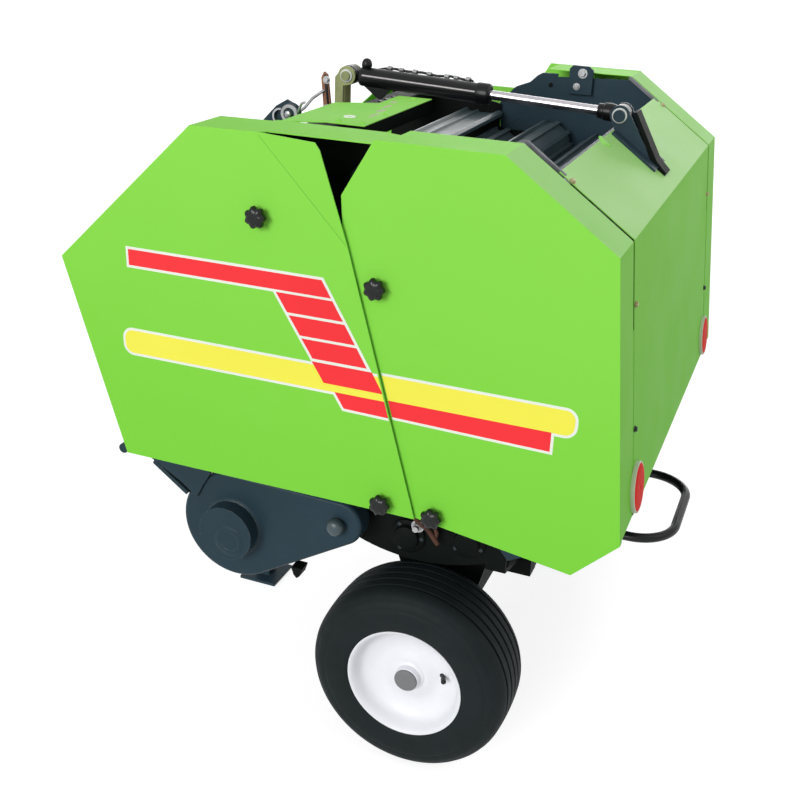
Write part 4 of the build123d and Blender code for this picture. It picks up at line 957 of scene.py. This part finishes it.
# Nose of the tailgate plates, ahead of the covers' top
NOSE = ((20, 1238), (18, 1247), (56, 1246.5), (67, 1240), (85, 1223), (118, 1210), (134, 1194), (157, 1167),
        (148, 1106), (134, 1106))
nose = Shape().mirrored_plate(NOSE, GATE_PLATE_INNER - 0.3, 5.6)
nose.make("tailgate_plate_noses", slate, "tailgate", "slate_paint", soften=0.8)
plugs = Shape()
for sign in SIGNS:
    plugs.lathe(((-0.2, 0.5), (-0.2, 5), (0.3, 5.6), (0.3, 0.5)),
                at(34, (GATE_PLATE_INNER - 0.4) * sign, 1220), -LEFT * sign, 20)
plugs.make("tailgate_plate_plugs", black_and_painted_shade, "tailgate", "slate_paint")

# Chain tensioner bracket on the right tailgate plate
CHAIN_BRACKET = ((-66, 1206), (-66, 1262), (-56, 1270), (-18, 1271), (-10, 1262), (-12, 1206))
Shape().side_plate(CHAIN_BRACKET, -PLATE_FACE, 6).make(
    "chain_bracket", slate, "tailgate", "slate_paint", soften=1.0)
bracket_bolts = Shape().bolt(at(-42, -424, 1254), LEFT, 13, 11)
bracket_bolts.bolt(at(-30, -424, 1224), LEFT, 10, 8)
bracket_bolts.make("chain_bracket_bolts", zinc, "tailgate", "zinc")

# Black web that closes the rod's bracket behind, with its foot on the sheet; its black stands in as painted
# shade
WEB_TOP = (-246, 1250)
WEB_FOOT, WEB_TOE, WEB_SHEET, WEB_WIDTH = 172, 206, 6, 44


def slope_point(distance, proud=0.0):
    """Forward and up of a place on the slope, from the datum."""
    along, out = slope_run * distance, slope_out * proud
    return SLOPE_HIGH[0] + along.x + out.x, SLOPE_HIGH[1] + along.z + out.z


heel = slope_point(WEB_FOOT, WEB_SHEET)
web_outline = (WEB_TOP, slope_point(WEB_FOOT), slope_point(WEB_TOE), slope_point(WEB_TOE, WEB_SHEET),
               (heel[0] - 6, heel[1] + 2), (WEB_TOP[0] - 6, WEB_TOP[1] + 1))
Shape().side_plate(web_outline, -WEB_WIDTH / 2, WEB_WIDTH).make(
    "bracket_web", black_and_painted_shade, "tailgate", "black_paint", soften=1.0)

# Latch and ironwork below the covers
latch = Shape()
latch.tube(rounded([at(16, 446, 556), at(4, 450, 522), at(-24, 452, 506), at(-44, 450, 478)], 20), 5)
latch.lathe(((0, 0.5), (0, 14), (6, 14), (8, 11), (8, 0.5)), at(-6, 444, 522), LEFT, 24)
latch.tube([at(-30, 444, 520), at(-40, 447, 500), at(-36, 446, 480)], 4)
latch.make("latch_iron", dark_rust, "frame", "slate_paint")
latch_bolt = Shape().bolt(at(-2, 450, 508), LEFT, 15, 13)
latch_bolt.lathe(((0, 0.5), (0, 6), (16, 6), (16, 0.5)), at(-2, 450, 508), LEFT, 16)
latch_bolt.make("latch_bolt", zinc, "frame", "zinc")

# Gearbox: covers, screws and breather
GEARBOX = (575, 761)
COVER_CIRCLE, SHAFT_CIRCLE = 38, 33
gear_middle = at(GEARBOX[0], 0, GEARBOX[1])
gear_trim = Shape()
for sign in SIGNS:
    gear_trim.lathe(((75, 0.5), (75, 46), (81, 46), (83, 43), (83, 30), (90, 28), (90, 0.5)),
                    gear_middle, LEFT * sign, 56)
gear_trim.lathe(((60, 0.5), (60, 22), (70, 22), (70, 0.5)), gear_middle, UP, 40)
gear_trim.make("gearbox_covers", casting, "frame", "cast_iron")
gear_screws = Shape()
for sign in SIGNS:
    for i in range(6):
        t = radians(60 * i)
        x, z = GEARBOX[0] + COVER_CIRCLE * cos(t), GEARBOX[1] + COVER_CIRCLE * sin(t)
        gear_screws.bolt(at(x, 82 * sign, z), LEFT * sign, 10)
for i in range(4):
    t = radians(45 + 90 * i)
    y, z = SHAFT_CIRCLE * cos(t), GEARBOX[1] + SHAFT_CIRCLE * sin(t)
    gear_screws.bolt(at(GEARBOX[0] + 81, y, z), FORWARD, 10)
gear_screws.lathe(((70, 0.5), (70, 9), (78, 9), (80, 5), (86, 5), (88, 0.5)), gear_middle, UP, 6)
gear_screws.make("gearbox_screws", zinc, "frame", "zinc")

# Pin through the stand
STAND_PIN = (575, 440)
HANDLE = ((36, 0), (46, 6), (46, 30))
stand_pin = Shape()
stand_pin.tube([at(STAND_PIN[0], y, STAND_PIN[1]) for y in (-34, 38)], 5.5, 16)
stand_pin.tube(rounded([at(STAND_PIN[0], y, STAND_PIN[1] + rise) for y, rise in HANDLE], 6), 3.2, 10)
stand_pin.make("stand_pin", zinc, "frame", "zinc")

# Camera, solved from the photograph
YAW, PITCH, ROLL = radians(20.93), radians(24.21), radians(-2.17)
ahead = Vector((sin(YAW) * cos(PITCH), -cos(YAW) * cos(PITCH), -sin(PITCH)))
level_right = Vector((-cos(YAW), -sin(YAW), 0))
level_down = ahead.cross(level_right)
right = level_right * cos(ROLL) + level_down * sin(ROLL)
down = -level_right * sin(ROLL) + level_down * cos(ROLL)
camera = new_object("camera", bpy.data.cameras.new("camera"))
camera.data.lens = 49.95
camera.data.sensor_width = 36.0
camera.rotation_mode = "QUATERNION"
camera.rotation_quaternion = Matrix((right, -down, -ahead)).transposed().to_quaternion()
camera.location = Vector((-0.77397, 2.19170, 1.62514))
bpy.context.scene.camera = camera


def seen_by_eye(owner, otherwise, seen):
    """One strength for what the camera, a reflection or glass sees, another for the light itself."""
    rays = graph(owner)[0].new("ShaderNodeLightPath")
    eye = rays.outputs["Is Camera Ray"]
    for name in ("Is Glossy Ray", "Is Transmission Ray"):
        eye = combined(owner, "ShaderNodeMath", "MAXIMUM", eye, rays.outputs[name])
    return ranged(owner, eye, to_low=otherwise, to_high=seen)


# Pale floor
floor_mesh = bpy.data.meshes.new("floor")
REACH = 60.0
floor_mesh.from_pydata([(-REACH, -REACH, 0), (REACH, -REACH, 0), (REACH, REACH, 0), (-REACH, REACH, 0)],
                       [], [(0, 1, 2, 3)])
floor = new_object("floor", floor_mesh)
paving = bpy.data.materials.new("pale_floor")
paving.use_nodes = True
nodes, links = graph(paving)
shader = nodes["Principled BSDF"]
for name, value in (("Base Color", (0.55, 0.55, 0.55, 1)), ("Roughness", 0.9),
                    ("Specular IOR Level", 0.0), ("Emission Color", (1, 1, 1, 1))):
    shader.inputs[name].default_value = value
FLOOR_LIFT = 0.76
links.new(seen_by_eye(paving, 0.0, FLOOR_LIFT), shader.inputs["Emission Strength"])
floor_mesh.materials.append(paving)

# World: white to the camera and in reflections, a plain level for the light
world = bpy.data.worlds.new("studio")
bpy.context.scene.world = world
world.use_nodes = True
nodes, links = graph(world)
background = nodes["Background"]
background.inputs["Color"].default_value = (1, 1, 1, 1)
AMBIENT = 0.42
links.new(seen_by_eye(world, AMBIENT, 1.0), background.inputs["Strength"])


def sun(name, towards, power, softness):
    """A soft distant lamp that shines from a direction."""
    data = bpy.data.lights.new(name, "SUN")
    data.energy = power
    data.angle = radians(softness)
    lamp = new_object(name, data)
    lamp.rotation_mode = "QUATERNION"
    lamp.rotation_quaternion = (-Vector(towards)).to_track_quat("-Z", "Y")
    return lamp


sun("key", (0.2, 0.9, 0.3), 2.0, 30)
sun("right_fill", (0.1, -0.9, 0.04), 1.1, 40)
sun("rear_fill", (-0.7, 0.0, 0.7), 0.40, 40)

scene = bpy.context.scene
scene.view_settings.view_transform = "Standard"
